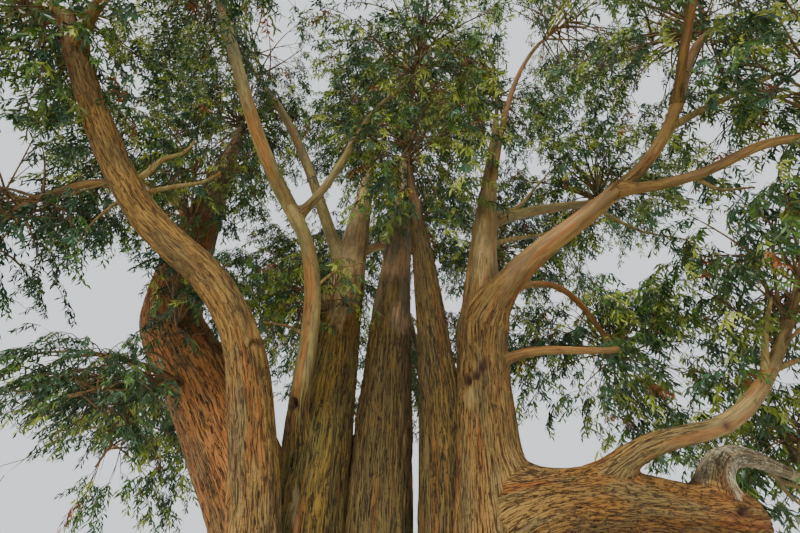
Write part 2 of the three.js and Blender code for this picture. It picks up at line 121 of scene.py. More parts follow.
# %% A value
class Value:
    """A number or colour that changes over a surface. Arithmetic on it adds Math nodes."""

    def __init__(self, finish, socket):
        self.finish = finish
        self.socket = socket

    def _math(self, operation, *terms):
        return self.finish.add("ShaderNodeMath", {"operation": operation}, *terms)

    def __abs__(self):
        return self._math("ABSOLUTE", self)

    def __add__(self, other):
        return self._math("ADD", self, other)

    __radd__ = __add__

    def __sub__(self, other):
        return self._math("SUBTRACT", self, other)

    def __rsub__(self, other):
        return self._math("SUBTRACT", other, self)

    def __mul__(self, other):
        return self._math("MULTIPLY", self, other)

    __rmul__ = __mul__


print("a Value wraps one socket and knows +, -, * and abs")

# %% A finish
class Finish:
    """A material whose nodes are added one by one and that ends in a Principled shader."""

    def __init__(self, name):
        self.material = bpy.data.materials.new(name)
        self.material.use_nodes = True
        self.tree = self.material.node_tree
        self.shader = self.tree.nodes["Principled BSDF"]

    def fill(self, socket, value):
        if isinstance(value, Value):
            self.tree.links.new(value.socket, socket)
        else:
            socket.default_value = value

    def add(self, kind, settings, *values, output=0, **named):
        node = self.tree.nodes.new(kind)
        for name, setting in settings.items():
            setattr(node, name, setting)
        for socket, value in zip(node.inputs, values):
            self.fill(socket, value)
        for name, value in named.items():
            self.fill(node.inputs[name.replace("_", " ")], value)
        return Value(self, node.outputs[output])

    def attribute(self, name, output):
        return self.add("ShaderNodeAttribute", {"attribute_name": name}, output=output)

    def stretched(self, vector, scale):
        return self.add("ShaderNodeVectorMath", {"operation": "MULTIPLY"}, vector, scale)

    def wandering(self, vector, scale, reach):
        """A vector that drifts to and fro, so that what is drawn along it meanders."""
        drift = self.add("ShaderNodeTexNoise", {}, output=1, Vector=vector, Scale=scale, Detail=2.0)
        drift = self.add("ShaderNodeVectorMath", {"operation": "SUBTRACT"}, drift, (0.5, 0.5, 0.5))
        drift = self.add("ShaderNodeVectorMath", {"operation": "MULTIPLY"}, drift, (reach, reach, reach))
        return self.add("ShaderNodeVectorMath", {"operation": "ADD"}, vector, drift)

    def lines(self, vector, thin, wide):
        """0 on thin lines that branch and meet, 1 between them."""
        return self.ramp(abs(self.noise(vector, 1.0, 2.0, 0.5) - 0.5), thin, wide)

    def noise(self, vector, scale, detail=4.0, rough=0.55):
        return self.add(
            "ShaderNodeTexNoise", {}, Vector=vector, Scale=scale, Detail=detail, Roughness=rough
        )

    def ramp(self, value, low, high):
        """0 below low, 1 above high and smooth between them."""
        return self.add(
            "ShaderNodeMapRange", {"interpolation_type": "SMOOTHSTEP"}, value, low, high, 0.0, 1.0
        )

    def mixed(self, share, one, other):
        mix = self.tree.nodes.new("ShaderNodeMix")
        mix.data_type = "RGBA"
        self.fill(mix.inputs[0], share)
        self.fill(mix.inputs[6], one)
        self.fill(mix.inputs[7], other)
        return Value(self, mix.outputs[2])

    def finish(self, base, rough, height=None, bump=1.0, distance=0.01):
        self.fill(self.shader.inputs["Base Color"], base)
        self.fill(self.shader.inputs["Roughness"], rough)
        if height is not None:
            normal = self.add("ShaderNodeBump", {}, Strength=bump, Distance=distance, Height=height)
            self.fill(self.shader.inputs["Normal"], normal)
        return self.material


floor_finish = Finish("pale_floor")
mottle = floor_finish.noise(floor_finish.add("ShaderNodeTexCoord", {}, output="Object"), 0.4)
floor.data.materials.append(
    floor_finish.finish(floor_finish.mixed(mottle, colour(214, 212, 208), colour(220, 218, 214)), 0.9)
)
print("finish of the floor:", floor.data.materials[0].name)

# %% [markdown]
# ## Curves and noise
# Limbs and twigs are tubes round curves. A Bezier curve is worked out by sliding along the lines
# between its control points, and distances along it come from a fine line of points. Bark needs a
# noise that is the same in the mesh on every run, so a small gradient noise is written here.

# %% Curves as arrays of points
def bezier(controls, shares):
    """Points on the Bezier curve of any number of control points."""
    rows = [np.asarray(control, float) + np.zeros((len(shares), 3)) for control in controls]
    while len(rows) > 1:
        rows = [one + (two - one) * shares[:, None] for one, two in zip(rows, rows[1:])]
    return rows[0]


def distances(line):
    """How far along a line of points each of them is."""
    return np.concatenate([[0.0], np.cumsum(np.linalg.norm(np.diff(line, axis=0), axis=1))])


def places_at(line, wanted):
    """The places at given distances along a line of points."""
    reach = distances(line)
    return np.stack([np.interp(wanted, reach, line[:, axis]) for axis in range(3)], axis=1)


def unit(vectors):
    return vectors / np.maximum(np.linalg.norm(vectors, axis=-1, keepdims=True), 1e-9)


def carried_frames(line):
    """Headings along a line and two directions across it, carried on with no twist."""
    heading = unit(np.gradient(line, axis=0))
    across = np.empty_like(line)
    first = np.array((1.0, 0.0, 0.0))
    for row, forward in enumerate(heading):
        first = first - forward * first.dot(forward)
        first = first / np.linalg.norm(first)
        across[row] = first
    return heading, across, np.cross(heading, across)


trial = bezier([(1, 0, 0), (1, 1, 0), (0, 1, 0)], np.array([0.0, 0.5, 1.0]))
print("a quarter turn:", trial.round(2).tolist())

# %% Gradient noise
GRADIENTS = unit(np.random.default_rng(5).normal(size=(256, 3)))
SHUFFLED = np.random.default_rng(6).permutation(256)


def noise(points, seed=0):
    """Smooth random values, about -0.7 to 0.7, that change over one unit of space."""
    cell = np.floor(points).astype(np.int64)
    part = points - cell
    ease = part * part * part * (part * (part * 6 - 15) + 10)
    total = np.zeros(len(points))
    for corner in np.ndindex(2, 2, 2):
        place = cell + corner
        code = SHUFFLED[(place[:, 0] + seed) & 255]
        code = SHUFFLED[(code + place[:, 1]) & 255]
        code = SHUFFLED[(code + place[:, 2]) & 255]
        slope = ((part - corner) * GRADIENTS[code]).sum(axis=1)
        weight = np.where(corner, ease, 1 - ease).prod(axis=1)
        total += weight * slope
    return total


trial = noise(np.random.default_rng(1).uniform(0, 9, (2000, 3)))
print("noise runs from", trial.min().round(2), "to", trial.max().round(2))

# %% [markdown]
# ## The picture as a ruler
# A few things are read off the photograph by where they are seen in it: old wounds, slim bare limbs
# and the gaps of the crown. This helper tells at which pixel a point in space is seen from the
# camera's place, so that those can be given in pixels.

# %% Where a point is seen from the photograph's place
MIDDLE_PX, MIDDLE_PY = 400, 266.5
FOCUS = MIDDLE_PX / (SENSOR / 2 / LENS)
NEAREST = 0.2
FORWARD = np.array((0, math.cos(LOOK_UP), math.sin(LOOK_UP)))
UPWARD = np.array((0, -math.sin(LOOK_UP), math.cos(LOOK_UP)))


def seen_at(points):
    """Pixels across and down at which points are seen, and how far ahead of the eye they are."""
    away = points - np.array(EYE)
    depth = away @ FORWARD
    safe = np.maximum(depth, NEAREST)
    return MIDDLE_PX + FOCUS * away[:, 0] / safe, MIDDLE_PY - FOCUS * (away @ UPWARD) / safe, depth


print("the clump's foot is seen at", [round(float(part[0])) for part in seen_at(np.zeros((1, 3)))])

# %% [markdown]
# ## The limbs
# Each limb is one cubic Bezier curve: it sets out from its foot along a lead, comes to its tip along
# a trail, and narrows from thick to thin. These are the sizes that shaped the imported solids. A
# bough's foot lies on its parent, and it swells into a collar there, except at a knee. One that goes
# onward carries its parent's line on past the parent's end. Smooth tells how far along a limb the
# rough bark gives way to smooth.

# %% Sizes of the stems
ROOT_TOP = 0.9
FOOT_HEIGHT = ROOT_TOP / 2
COLLAR = 0.35
COLLAR_LENGTH = 0.8
LINE_STEPS = 160

STEMS = [
    dict(
        name="stem_far_left", foot=(-1.22, 0.56), tip=(-5.3, 2.45, 12.4), lead=(-4.24, 1.2, 6.95),
        trail=(-0.67, 1.52, 10.57), thick=1.3, thin=0.22, taper=2.2, smooth=0.62, bark="red",
    ),
    dict(
        name="stem_near_left", foot=(-1.58, -0.5), tip=(-2.15, -0.78, 3.75), lead=(0.0, -0.07, 1.14),
        trail=(-0.26, -0.23, 1.08), thick=0.62, thin=0.54, taper=1.0, smooth=1.1, bark="tan",
    ),
    dict(
        name="stem_mid_left", foot=(-1.2, 0.15), tip=(-1.0, 3.3, 13.0), lead=(-0.18, 0.5, 4.33),
        trail=(-0.05, 0.72, 4.26), thick=1.15, thin=0.18, taper=1.15, smooth=0.4, bark="olive",
    ),
    dict(
        name="stem_leader", foot=(-0.31, 0.3), tip=(0.3, 4.0, 16.0), lead=(0.05, 0.36, 5.46),
        trail=(0.04, 0.31, 5.47), thick=1.0, thin=0.17, taper=1.0, smooth=0.3, bark="brown",
    ),
    dict(
        name="stem_slim", foot=(0.47, 0.0), tip=(0.22, 0.68, 8.9), lead=(0.32, 0.09, 2.82),
        trail=(-0.19, 0.29, 2.82), thick=0.71, thin=0.12, taper=1.6, smooth=0.75, bark="brown",
    ),
    dict(
        name="stem_right", foot=(1.18, -0.15), tip=(2.95, 1.5, 12.2), lead=(-0.16, 0.09, 4.11),
        trail=(0.79, 0.33, 3.94), thick=1.22, thin=0.12, taper=0.7, smooth=0.37, bark="tan",
    ),
]
print("stems:", len(STEMS))

# %% Sizes of the boughs
BOUGHS = [
    dict(
        name="bough_near_left", on="stem_near_left", at=0.965, tip=(-6.0, -2.45, 9.2),
        lead=(-1.11, -0.63, 2.22), trail=(-2.22, -1.83, 5.08), thick=0.48, thin=0.36, taper=2.0,
        smooth=0.9, bark="golden", knee=True, onward=True,
    ),
    dict(
        name="bough_hanging_left", on="bough_near_left", at=0.46, tip=(-5.7, -1.2, 6.2),
        lead=(-0.5, 0.1, 0.4), trail=(-0.6, 0.0, -0.4), thick=0.18, thin=0.11, smooth=0.0, bark="golden",
    ),
    dict(
        name="bough_front_left", on="bough_near_left", at=0.9, tip=(-3.2, -4.2, 9.0),
        lead=(0.3, -0.7, 0.7), trail=(0.9, -0.9, 0.2), thick=0.2, thin=0.13, smooth=0.0, bark="golden",
    ),
    dict(
        name="bough_pale", on="stem_mid_left", at=0.161, tip=(-2.04, -0.45, 6.55),
        lead=(-0.68, -0.8, -0.31), trail=(-1.27, -0.16, 1.79), thick=0.29, thin=0.25,
        smooth=0.24, bark="pale",
    ),
    dict(
        name="bough_pale_upper", on="bough_pale", at=0.976, tip=(-3.76, -1.9, 10.7),
        lead=(-0.84, -0.59, 1.27), trail=(-0.57, -0.29, 1.49), thick=0.28, thin=0.23,
        smooth=0.0, bark="pale", knee=True, onward=True,
    ),
    dict(
        name="bough_pale_side", on="bough_pale", at=0.945, tip=(0.0, -0.5, 10.24),
        lead=(0.95, -0.1, 1.14), trail=(1.07, -0.02, 1.08), thick=0.17, thin=0.09,
        smooth=0.0, bark="pale",
    ),
    dict(
        name="bough_steep_left", on="stem_mid_left", at=0.457, tip=(-3.9, 1.2, 12.6),
        lead=(-0.86, 0.12, 2.14), trail=(-1.29, -0.27, 1.95), thick=0.32, thin=0.22,
        smooth=0.04, bark="pale",
    ),
    dict(
        name="bough_wand", on="stem_right", at=0.563, tip=(4.5, 0.8, 14.8), lead=(0.71, 0.21, 2.61),
        trail=(1.5, 0.07, 2.33), thick=0.2, thin=0.12, smooth=0.0, bark="golden",
    ),
    dict(
        name="bough_right", on="stem_right", at=0.323, tip=(3.74, -1.15, 6.42), lead=(0.39, -0.64, 1.09),
        trail=(0.8, -0.65, 0.61), thick=0.52, thin=0.25, smooth=0.12, bark="golden",
    ),
    dict(
        name="bough_right_upper", on="bough_right", at=0.951, tip=(6.2, -1.9, 9.9),
        lead=(1.51, -0.56, 0.97), trail=(1.05, -0.03, 0.95), thick=0.22, thin=0.14,
        smooth=0.0, bark="golden", knee=True, onward=True,
    ),
    dict(
        name="bough_right_level", on="bough_right", at=0.97, tip=(6.3, -2.2, 6.3),
        lead=(1.5, -0.78, -0.56), trail=(1.4, -0.07, -0.26), thick=0.18, thin=0.12,
        smooth=0.0, bark="golden",
    ),
    dict(
        name="bough_front_right", on="bough_right_upper", at=0.489, tip=(4.6, -4.0, 9.0),
        lead=(-0.1, -0.8, 0.6), trail=(0.0, -0.7, 0.3), thick=0.17, thin=0.12, smooth=0.0, bark="golden",
    ),
    dict(
        name="bough_far_right", on="stem_right", at=0.556, tip=(5.4, 2.2, 9.2), lead=(0.64, 0.4, 0.87),
        trail=(0.65, 0.61, 0.7), thick=0.28, thin=0.16, smooth=0.0, bark="pale",
    ),
    dict(
        name="bough_arched", on="stem_right", at=0.386, tip=(4.4, 1.9, 4.9), lead=(1.37, 0.14, 0.65),
        trail=(0.92, 0.77, -1.2), thick=0.15, thin=0.11, smooth=0.0, bark="golden",
    ),
    dict(
        name="bough_bare", on="stem_right", at=0.256, tip=(3.5, 0.0, 3.97), lead=(0.62, -0.26, 0.62),
        trail=(0.74, -0.01, 0.13), thick=0.17, thin=0.1, smooth=0.12, bark="golden", stub=True,
    ),
    dict(
        name="bough_back_right", on="stem_right", at=0.642, tip=(3.1, 4.9, 9.6), lead=(0.3, 1.1, 1.0),
        trail=(0.5, 1.5, 0.0), thick=0.26, thin=0.15, smooth=0.0, bark="pale",
    ),
    dict(
        name="bough_low", on="stem_right", at=0.083, tip=(4.62, 0.02, 1.67), lead=(0.4, -0.68, 0.74),
        trail=(0.69, -0.06, 0.04), thick=0.84, thin=0.54, smooth=1.1, bark="low", knee=True, stub=True,
    ),
    dict(
        name="bough_low_upper", on="bough_low", at=0.33, tip=(5.2, -0.5, 3.42), lead=(1.43, -0.17, 1.24),
        trail=(1.31, -0.01, 1.34), thick=0.32, thin=0.19, smooth=0.36, bark="tan",
    ),
    dict(
        name="bough_low_end", on="bough_low", at=0.83, tip=(5.5, 0.35, 2.25), lead=(0.25, 0.05, 0.75),
        trail=(0.9, 0.25, -0.35), thick=0.42, thin=0.16, smooth=0.9, bark="grey",
    ),
    dict(
        name="bough_back_left_low", on="stem_far_left", at=0.496, tip=(-6.2, 3.6, 4.6),
        lead=(-0.5, 0.7, 0.5), trail=(-0.5, 0.7, -0.9), thick=0.28, thin=0.15, smooth=0.1, bark="red",
    ),
    dict(
        name="bough_far_left_high", on="stem_far_left", at=0.655, tip=(-7.4, 1.8, 9.7),
        lead=(-0.7, 0.0, 0.8), trail=(-0.8, 0.0, 0.3), thick=0.26, thin=0.15, smooth=0.0, bark="pale",
    ),
    dict(
        name="bough_back_high", on="stem_leader", at=0.547, tip=(0.6, 6.3, 11.7), lead=(0.0, 1.3, 1.5),
        trail=(0.3, 1.4, 0.3), thick=0.3, thin=0.17, smooth=0.0, bark="pale",
    ),
    dict(
        name="bough_back_left", on="stem_leader", at=0.452, tip=(-2.7, 5.7, 8.6), lead=(-0.7, 1.0, 0.9),
        trail=(-1.1, 1.4, -0.1), thick=0.28, thin=0.16, smooth=0.0, bark="pale",
    ),
    dict(
        name="bough_back_low", on="stem_leader", at=0.304, tip=(0.5, 5.6, 6.3), lead=(0.1, 1.3, 0.9),
        trail=(0.2, 1.6, -0.5), thick=0.24, thin=0.14, smooth=0.1, bark="brown",
    ),
]
print("boughs:", len(BOUGHS))

# %% Work the limbs out
class Limb:
    """A limb's middle line, its radius along it and how its skin is finished."""

    def __init__(self, name, foot, tip, lead, trail, thick, thin, taper=1.0, smooth=0.0, bark="pale",
                 on=None, knee=False, onward=False, stub=False, foot_far=0.0, parent_radius=0.0):
        foot, tip = np.array(foot, float), np.array(tip, float)
        controls = [foot, foot + lead, tip - np.array(trail), tip]
        self.name, self.on, self.onward, self.stub, self.bark = name, on, onward, stub, bark
        self.thick, self.thin, self.taper = thick, thin, taper
        self.line = bezier(controls, np.linspace(0, 1, LINE_STEPS + 1))
        self.length = distances(self.line)[-1]
        self.smooth_from = smooth * self.length
        self.foot_far, self.parent_radius = foot_far, parent_radius
        self.collar = 0.0 if on is None or knee else COLLAR
        self.heading = unit(tip - controls[2])

    def radius(self, far):
        """Radius at a distance along the limb."""
        share = np.clip(far / self.length, 0, 1)
        plain = (self.thick + (self.thin - self.thick) * share ** self.taper) / 2
        beyond = np.maximum(far - self.parent_radius, 0)
        return plain * (1 + self.collar * np.exp(-beyond / (COLLAR_LENGTH * self.thick)))


limbs = {}
for sizes in STEMS:
    foot = (*sizes["foot"], FOOT_HEIGHT)
    limbs[sizes["name"]] = Limb(**{**sizes, "foot": foot})
for sizes in BOUGHS:
    parent = limbs[sizes["on"]]
    far = sizes["at"] * parent.length
    foot = places_at(parent.line, np.array([far]))[0]
    rest = {key: value for key, value in sizes.items() if key != "at"}
    limbs[sizes["name"]] = Limb(**rest, foot=foot, foot_far=far, parent_radius=float(parent.radius(far)))
print("limbs:", len(limbs), "longest:", round(max(limb.length for limb in limbs.values()), 1), "m")

# %% [markdown]
# ## Bark with a real relief
# Low on the stems the bark is thick and stringy: long ridges a few centimetres wide, with dark
# furrows that join and part. Higher up it has been shed, and the skin is smooth and pale. The
# relief is worked out in a grain space that runs round and along the limb, so it has no seam and
# follows every bend. The same values are kept on the mesh for the colours.

# %% Relief of the bark
FURROWS = np.array((11.0, 11.0, 0.6))  # furrows to a metre round the limb and along it
STRANDS = np.array((21.0, 21.0, 1.8))
LUMPS = np.array((3.4, 3.4, 1.1))
WAVES = np.array((3.2, 3.2, 2.4))
ROUGH_DEPTH = 0.026
SMOOTH_DEPTH = 0.014
FURROW_WIDTH = 0.3


def bark_relief(grain, smooth, radius):
    """Height of the bark and how far each point stands out of its furrow, 0 to 1."""
    wave = np.stack([noise(grain * WAVES, seed) for seed in (11, 15, 16)], axis=1)
    ridge = np.clip(np.abs(noise(grain * FURROWS + wave, 12)) / FURROW_WIDTH, 0, 1)
    strand = noise(grain * STRANDS + wave, 13)
    lump = noise(grain * LUMPS, 14)
    ridge = ridge * (2 - ridge)
    rough = (ridge - 0.6 + 0.7 * strand + 0.6 * lump) * ROUGH_DEPTH * np.minimum(radius / 0.3, 1)
    even = (lump + 0.2 * strand * ridge) * SMOOTH_DEPTH * np.minimum(radius / 0.2, 1)
    return rough + (even - rough) * smooth, np.clip(ridge + 0.6 * strand, 0, 1)


print("relief of rough bark:", ROUGH_DEPTH, "m")

# %% [markdown]
# ## Skins that flow into each other
# A tube pushed into another looks like plumbing. On a tree the wood flows round a fork, so each
# skin swells out to the level where its own distance and its neighbour's, blended smoothly, are
# nought. Both skins then meet on one rounded surface.

# %% How far a point is outside a limb
OUTSIDE_MARKS = 10
FLOW_STEPS = 7
FLOW_SLOWED = 0.8  # share of each step that is taken, so that the skin settles
MOST_SWELLING = 1.2
SEAM_WIDTH = 0.06
SEAM_DEPTH = 0.055


def outside(limb, points, first, last):
    """Distance from points to a limb's skin between two distances along it."""
    marks = np.linspace(first, last, OUTSIDE_MARKS)
    line, radii = places_at(limb.line, marks), limb.radius(marks)
    nearest = np.full(len(points), 1e9)
    for start, end, thick, thin in zip(line, line[1:], radii, radii[1:]):
        step = end - start
        share = np.clip((points - start) @ step / (step @ step), 0, 1)
        gap = np.linalg.norm(points - start - share[:, None] * step, axis=1)
        nearest = np.minimum(nearest, gap - (thick + (thin - thick) * share))
    return nearest


def blended(one, other, reach):
    """The lesser of two distances, rounded off where they are alike."""
    overlap = np.maximum(reach - np.abs(one - other), 0) / reach
    return np.minimum(one, other) - overlap * overlap * reach / 4


def swollen(middles, outward, radius, limb, first, last, reach):
    """Radius of a skin once it flows into a neighbouring limb, drawn in where it is the inner one."""
    near = np.flatnonzero(outside(limb, middles + outward * radius[:, None], first, last) < reach)
    grown = radius[near]
    for _ in range(FLOW_STEPS):
        points = middles[near] + outward[near] * grown[:, None]
        level = blended(grown - radius[near], outside(limb, points, first, last), reach)
        most = radius[near] + MOST_SWELLING * reach
        grown = np.clip(grown - FLOW_SLOWED * level, radius[near], most)
    points = middles[near] + outward[near] * grown[:, None]
    inner = np.clip((grown - radius[near] - outside(limb, points, first, last)) / SEAM_WIDTH, 0, 1)
    result = radius.copy()
    result[near] = grown - inner * SEAM_DEPTH
    return result


trial = outside(limbs["stem_leader"], np.array([(2.0, 0.3, 1.0)]), 0.0, 2.0)
print("a point two metres beside the leader is outside it by", trial.round(2), "m")

# %% Which limbs flow together
FLOW = 0.55  # reach of the rounding at a fork, as a share of the slimmer limb's thickness
BESIDE = 0.8  # how near to its parent's end a side bough also meets the limb that goes onward


def flow(parent, child):
    """Where along a parent a bough flows into it, and how far the rounding reaches."""
    span = child.parent_radius + 2 * child.thick
    low, high = max(child.foot_far - span, 0), min(child.foot_far + span, parent.length)
    return parent, low, high, FLOW * child.thick


def neighbours(name):
    """The limbs that one flows into: where along them, and how far the rounding reaches."""
    limb = limbs[name]
    found = []
    if limb.on and not limb.onward:
        found.append(flow(limbs[limb.on], limb))
    for child in limbs.values():
        if child.on == name and not child.onward:
            span = min(2 * child.parent_radius + 2 * child.thick, child.length)
            found.append((child, 0.0, span, FLOW * child.thick))
    for child in limbs.values():
        beside = child.on == limb.on and child is not limb and child.on is not None
        if beside and limb.onward and child.foot_far > limb.foot_far - BESIDE:
            found.append((child, 0.0, min(4 * child.thick, child.length), FLOW * child.thick))
        if beside and child.onward and limb.foot_far > child.foot_far - BESIDE:
            found.append((child, 0.0, 6 * limb.thick, FLOW * limb.thick))
    return found


print("stem_right flows into", len(neighbours("stem_right")), "boughs")

# %% [markdown]
# ## Skin of one limb
# A grid of faces is rolled round the limb's line. Its rings stand close where the bark is rough and
# wider apart where it is smooth. A stem is fluted a little, and its foot spreads into the root
# crown with a few broad buttresses. The grid's two long edges are then merged and its ends filled.

# %% The line that a skin follows
BELOW_GROUND = 0.12
FOOT_BEND = 0.7
LINE_STEP = 0.05
KNEE_REACH = 0.5
KNEE_ROUNDS = 25
KNEE_RAGGED = 0.25
OVERLAP = 0.3
TUCK = 0.04
TUCK_BLEND = 0.06


def foot_line(limb):
    """The line of a stem, brought down to the ground at its foot."""
    foot = limb.line[0]
    ground = foot * (1, 1, 0)
    bend = places_at(limb.line, np.array([FOOT_BEND]))[0]
    beyond = limb.line[distances(limb.line) > FOOT_BEND + 0.05]
    rise = bezier([ground, foot, bend], np.linspace(0, 1, 30))
    line = np.concatenate([[ground - (0, 0, BELOW_GROUND)], rise, beyond])
    return line, distances(line) - (distances(line)[-1] - limb.length)


def shared_line(parent, child):
    """The line through a knee, bent smoothly, with radii and with distances from the knee."""
    before = np.arange(-parent.length * 0.5, 0, LINE_STEP)
    after = np.append(np.arange(0, child.length, LINE_STEP), child.length)
    lower = places_at(parent.line, child.foot_far + before)
    line = np.concatenate([lower, places_at(child.line, after)])
    radii = np.concatenate([parent.radius(child.foot_far + before), child.radius(after)])
    far = np.concatenate([before, after])
    near = np.flatnonzero(np.abs(far) < KNEE_REACH)
    for _ in range(KNEE_ROUNDS):
        line[near] = (line[near - 1] + line[near + 1]) / 2
        radii[near] = (radii[near - 1] + radii[near + 1]) / 2
    return line, far, radii


def skin_line(limb):
    """The line that a skin follows, how far along the limb its points are, and its radii."""
    line, far = foot_line(limb) if limb.on is None else (limb.line, distances(limb.line))
    radii = limb.radius(np.maximum(far, 0))
    if limb.onward:
        line, far, radii = shared_line(limbs[limb.on], limb)
        kept = far > -OVERLAP
        return line[kept], far[kept], radii[kept]
    for child in limbs.values():
        if child.onward and child.on == limb.name:
            shared, beyond, shared_radii = shared_line(limb, child)
            kept = beyond < OVERLAP
            own = far < child.foot_far + beyond[0]
            line = np.concatenate([line[own], shared[kept]])
            far = np.concatenate([far[own], child.foot_far + beyond[kept]])
            radii = np.concatenate([radii[own], shared_radii[kept]])
    return line, far, radii


def tucked(limb, far, outward):
    """How deep a skin lies under the one that shares its line beyond the knee."""
    ragged = KNEE_RAGGED * noise(outward * 1.7, 33)
    depth = np.zeros(len(far))
    if limb.onward:
        depth = np.clip((ragged - far) / TUCK_BLEND, 0, 1)
    for child in limbs.values():
        if child.onward and child.on == limb.name:
            depth = np.clip((far - child.foot_far - ragged) / TUCK_BLEND, 0, 1)
    return TUCK * depth


print("the skin of stem_leader follows", len(skin_line(limbs["stem_leader"])[0]), "points")

# %% Roll a grid into a skin
ROUGH_SPACING = 0.034
SMOOTH_SPACING = 0.085
SHED_BLEND = 0.9  # length over which rough bark gives way to smooth
MERGE_WITHIN = 1e-5


def ring_marks(limb, first, last):
    """Where rings stand along a limb."""
    marks = [first]
    while marks[-1] < last:
        share = np.clip((marks[-1] - limb.smooth_from) / SHED_BLEND, 0, 1)
        marks.append(marks[-1] + ROUGH_SPACING + (SMOOTH_SPACING - ROUGH_SPACING) * share)
    marks[-1] = last
    return np.array(marks)


def rolled_grid(name, rings, sides):
    """A grid of faces and, for each of its points, the ring and the side that it belongs to."""
    bpy.ops.mesh.primitive_grid_add(x_subdivisions=sides, y_subdivisions=rings, size=1)
    piece = bpy.context.object
    piece.name = piece.data.name = name
    points = np.empty(len(piece.data.vertices) * 3)
    piece.data.vertices.foreach_get("co", points)
    points = points.reshape(-1, 3) + 0.5
    return piece, np.rint(points[:, 1] * rings).astype(int), np.rint(points[:, 0] * sides).astype(int)


def keep_values(mesh, name, values):
    """Stores one number or vector for each point of a mesh."""
    kind = "FLOAT" if values.ndim == 1 else "FLOAT_VECTOR"
    layer = mesh.attributes.new(name, kind, "POINT")
    field = "value" if values.ndim == 1 else "vector"
    layer.data.foreach_set(field, values.astype(np.float32).ravel())


def keep_bark(mesh, grain, **readings):
    """Stores what a bark's finish reads: its grain, and its ridge, shed, kin and dark."""
    keep_values(mesh, "grain", grain)
    for name, values in readings.items():
        keep_values(mesh, name, values + np.zeros(len(grain)))


def close_skin():
    """Merges the seam of the rolled grid just made, fills its ends and turns its faces outward."""
    bpy.ops.object.mode_set(mode="EDIT")
    bpy.ops.mesh.select_all(action="SELECT")
    bpy.ops.mesh.remove_doubles(threshold=MERGE_WITHIN)
    bpy.ops.mesh.fill_holes(sides=0)
    bpy.ops.mesh.normals_make_consistent(inside=False)
    bpy.ops.object.mode_set(mode="OBJECT")
    bpy.ops.object.shade_smooth()


print("rings on stem_leader:", len(ring_marks(limbs["stem_leader"], 0.0, limbs["stem_leader"].length)))

# %% [markdown]
# ## Old wounds and skins
# Where boughs were lost, the stems carry hollows with a raised rim, and patches of bare wood. Each
# is a limb's own and is placed by the pixel where it is seen. Then the skin of each limb is shaped:
# its thickness, its flutes, the flow into its neighbours, the relief of its bark and its wounds.

# %% Old wounds
WOUNDS = [  # limb, px, py, half width, half height, depth in metres and how far the bark is shed
    ("bough_near_left", 256, 345, 8, 5, 0.05, 0.0), ("bough_near_left", 252, 330, 7, 9, 0.0, 1.0),
    ("bough_near_left", 103, 98, 6, 13, 0.01, 1.0), ("bough_pale", 295, 404, 4, 6, 0.09, 0.0),
    ("stem_right", 467, 381, 5, 6, 0.05, 0.0), ("stem_right", 476, 376, 5, 5, 0.04, 0.0),
    ("stem_right", 482, 367, 4, 7, 0.03, 0.0), ("stem_right", 471, 398, 6, 11, 0.0, 0.9),
    ("stem_leader", 401, 318, 10, 15, 0.0, 0.9), ("stem_mid_left", 338, 285, 16, 38, 0.0, 0.9),
    ("stem_mid_left", 296, 512, 4, 26, 0.0, 0.9), ("bough_low", 744, 512, 7, 7, 0.05, 0.0),
    ("bough_low_upper", 727, 427, 6, 5, 0.03, 0.0),
]
WOUND_RAGGED = 0.8
WOUND_RIM = 0.45  # height of the rim, as a share of the wound's depth
RIM_AT = 1.3
DARK_FROM = 0.02  # a wound at least this deep is dark inside


def wounded(name, points, height, shed):
    """Sinks the old wounds of a limb into its bark, each with a rim, and bares the wood of some."""
    dark = np.zeros(len(points))
    for limb, wound_px, wound_py, half_px, half_py, deep, bare in WOUNDS:
        if limb != name:
            continue
        px, py, _ = seen_at(points)
        apart = ((px - wound_px) / half_px) ** 2 + ((py - wound_py) / half_py) ** 2
        apart = apart * (1 + WOUND_RAGGED * noise(points * 9, 55))
        hollow = np.exp(-(apart**1.5) * 1.2)
        height = height + deep * (WOUND_RIM * np.exp(-3 * (apart - RIM_AT) ** 2) - hollow)
        dark = np.maximum(dark, hollow * (deep > DARK_FROM))
        shed = np.maximum(shed, bare * np.clip(1.6 - apart, 0, 1))
    return height, shed, dark


print("old wounds:", len(WOUNDS))

# %% Shape the skin of a limb
SIDE_WIDTH = 0.02
MOST_SIDES = 160
FEWEST_SIDES = 18
END_ROUNDING = 0.97
FOOT_ROUNDING = 0.6
KIN_BLEND = 0.2
KIN_BLEND_THICK = 0.5
KIN_RAGGED = 0.4
FOOT_FLARE = 0.42
FLARE_HEIGHT = 0.3
BUTTRESSES = 5
BUTTRESS_DEPTH = 0.16
FLUTES = 0.05
FLUTE_PACE = 0.4
GRAIN_APART = 7.3  # how far apart the grains of two limbs lie in the noise
SHED_EDGE = np.array((5.0, 5.0, 0.9))
SHED_RAGGED = 1.6  # how raggedly the rough bark ends


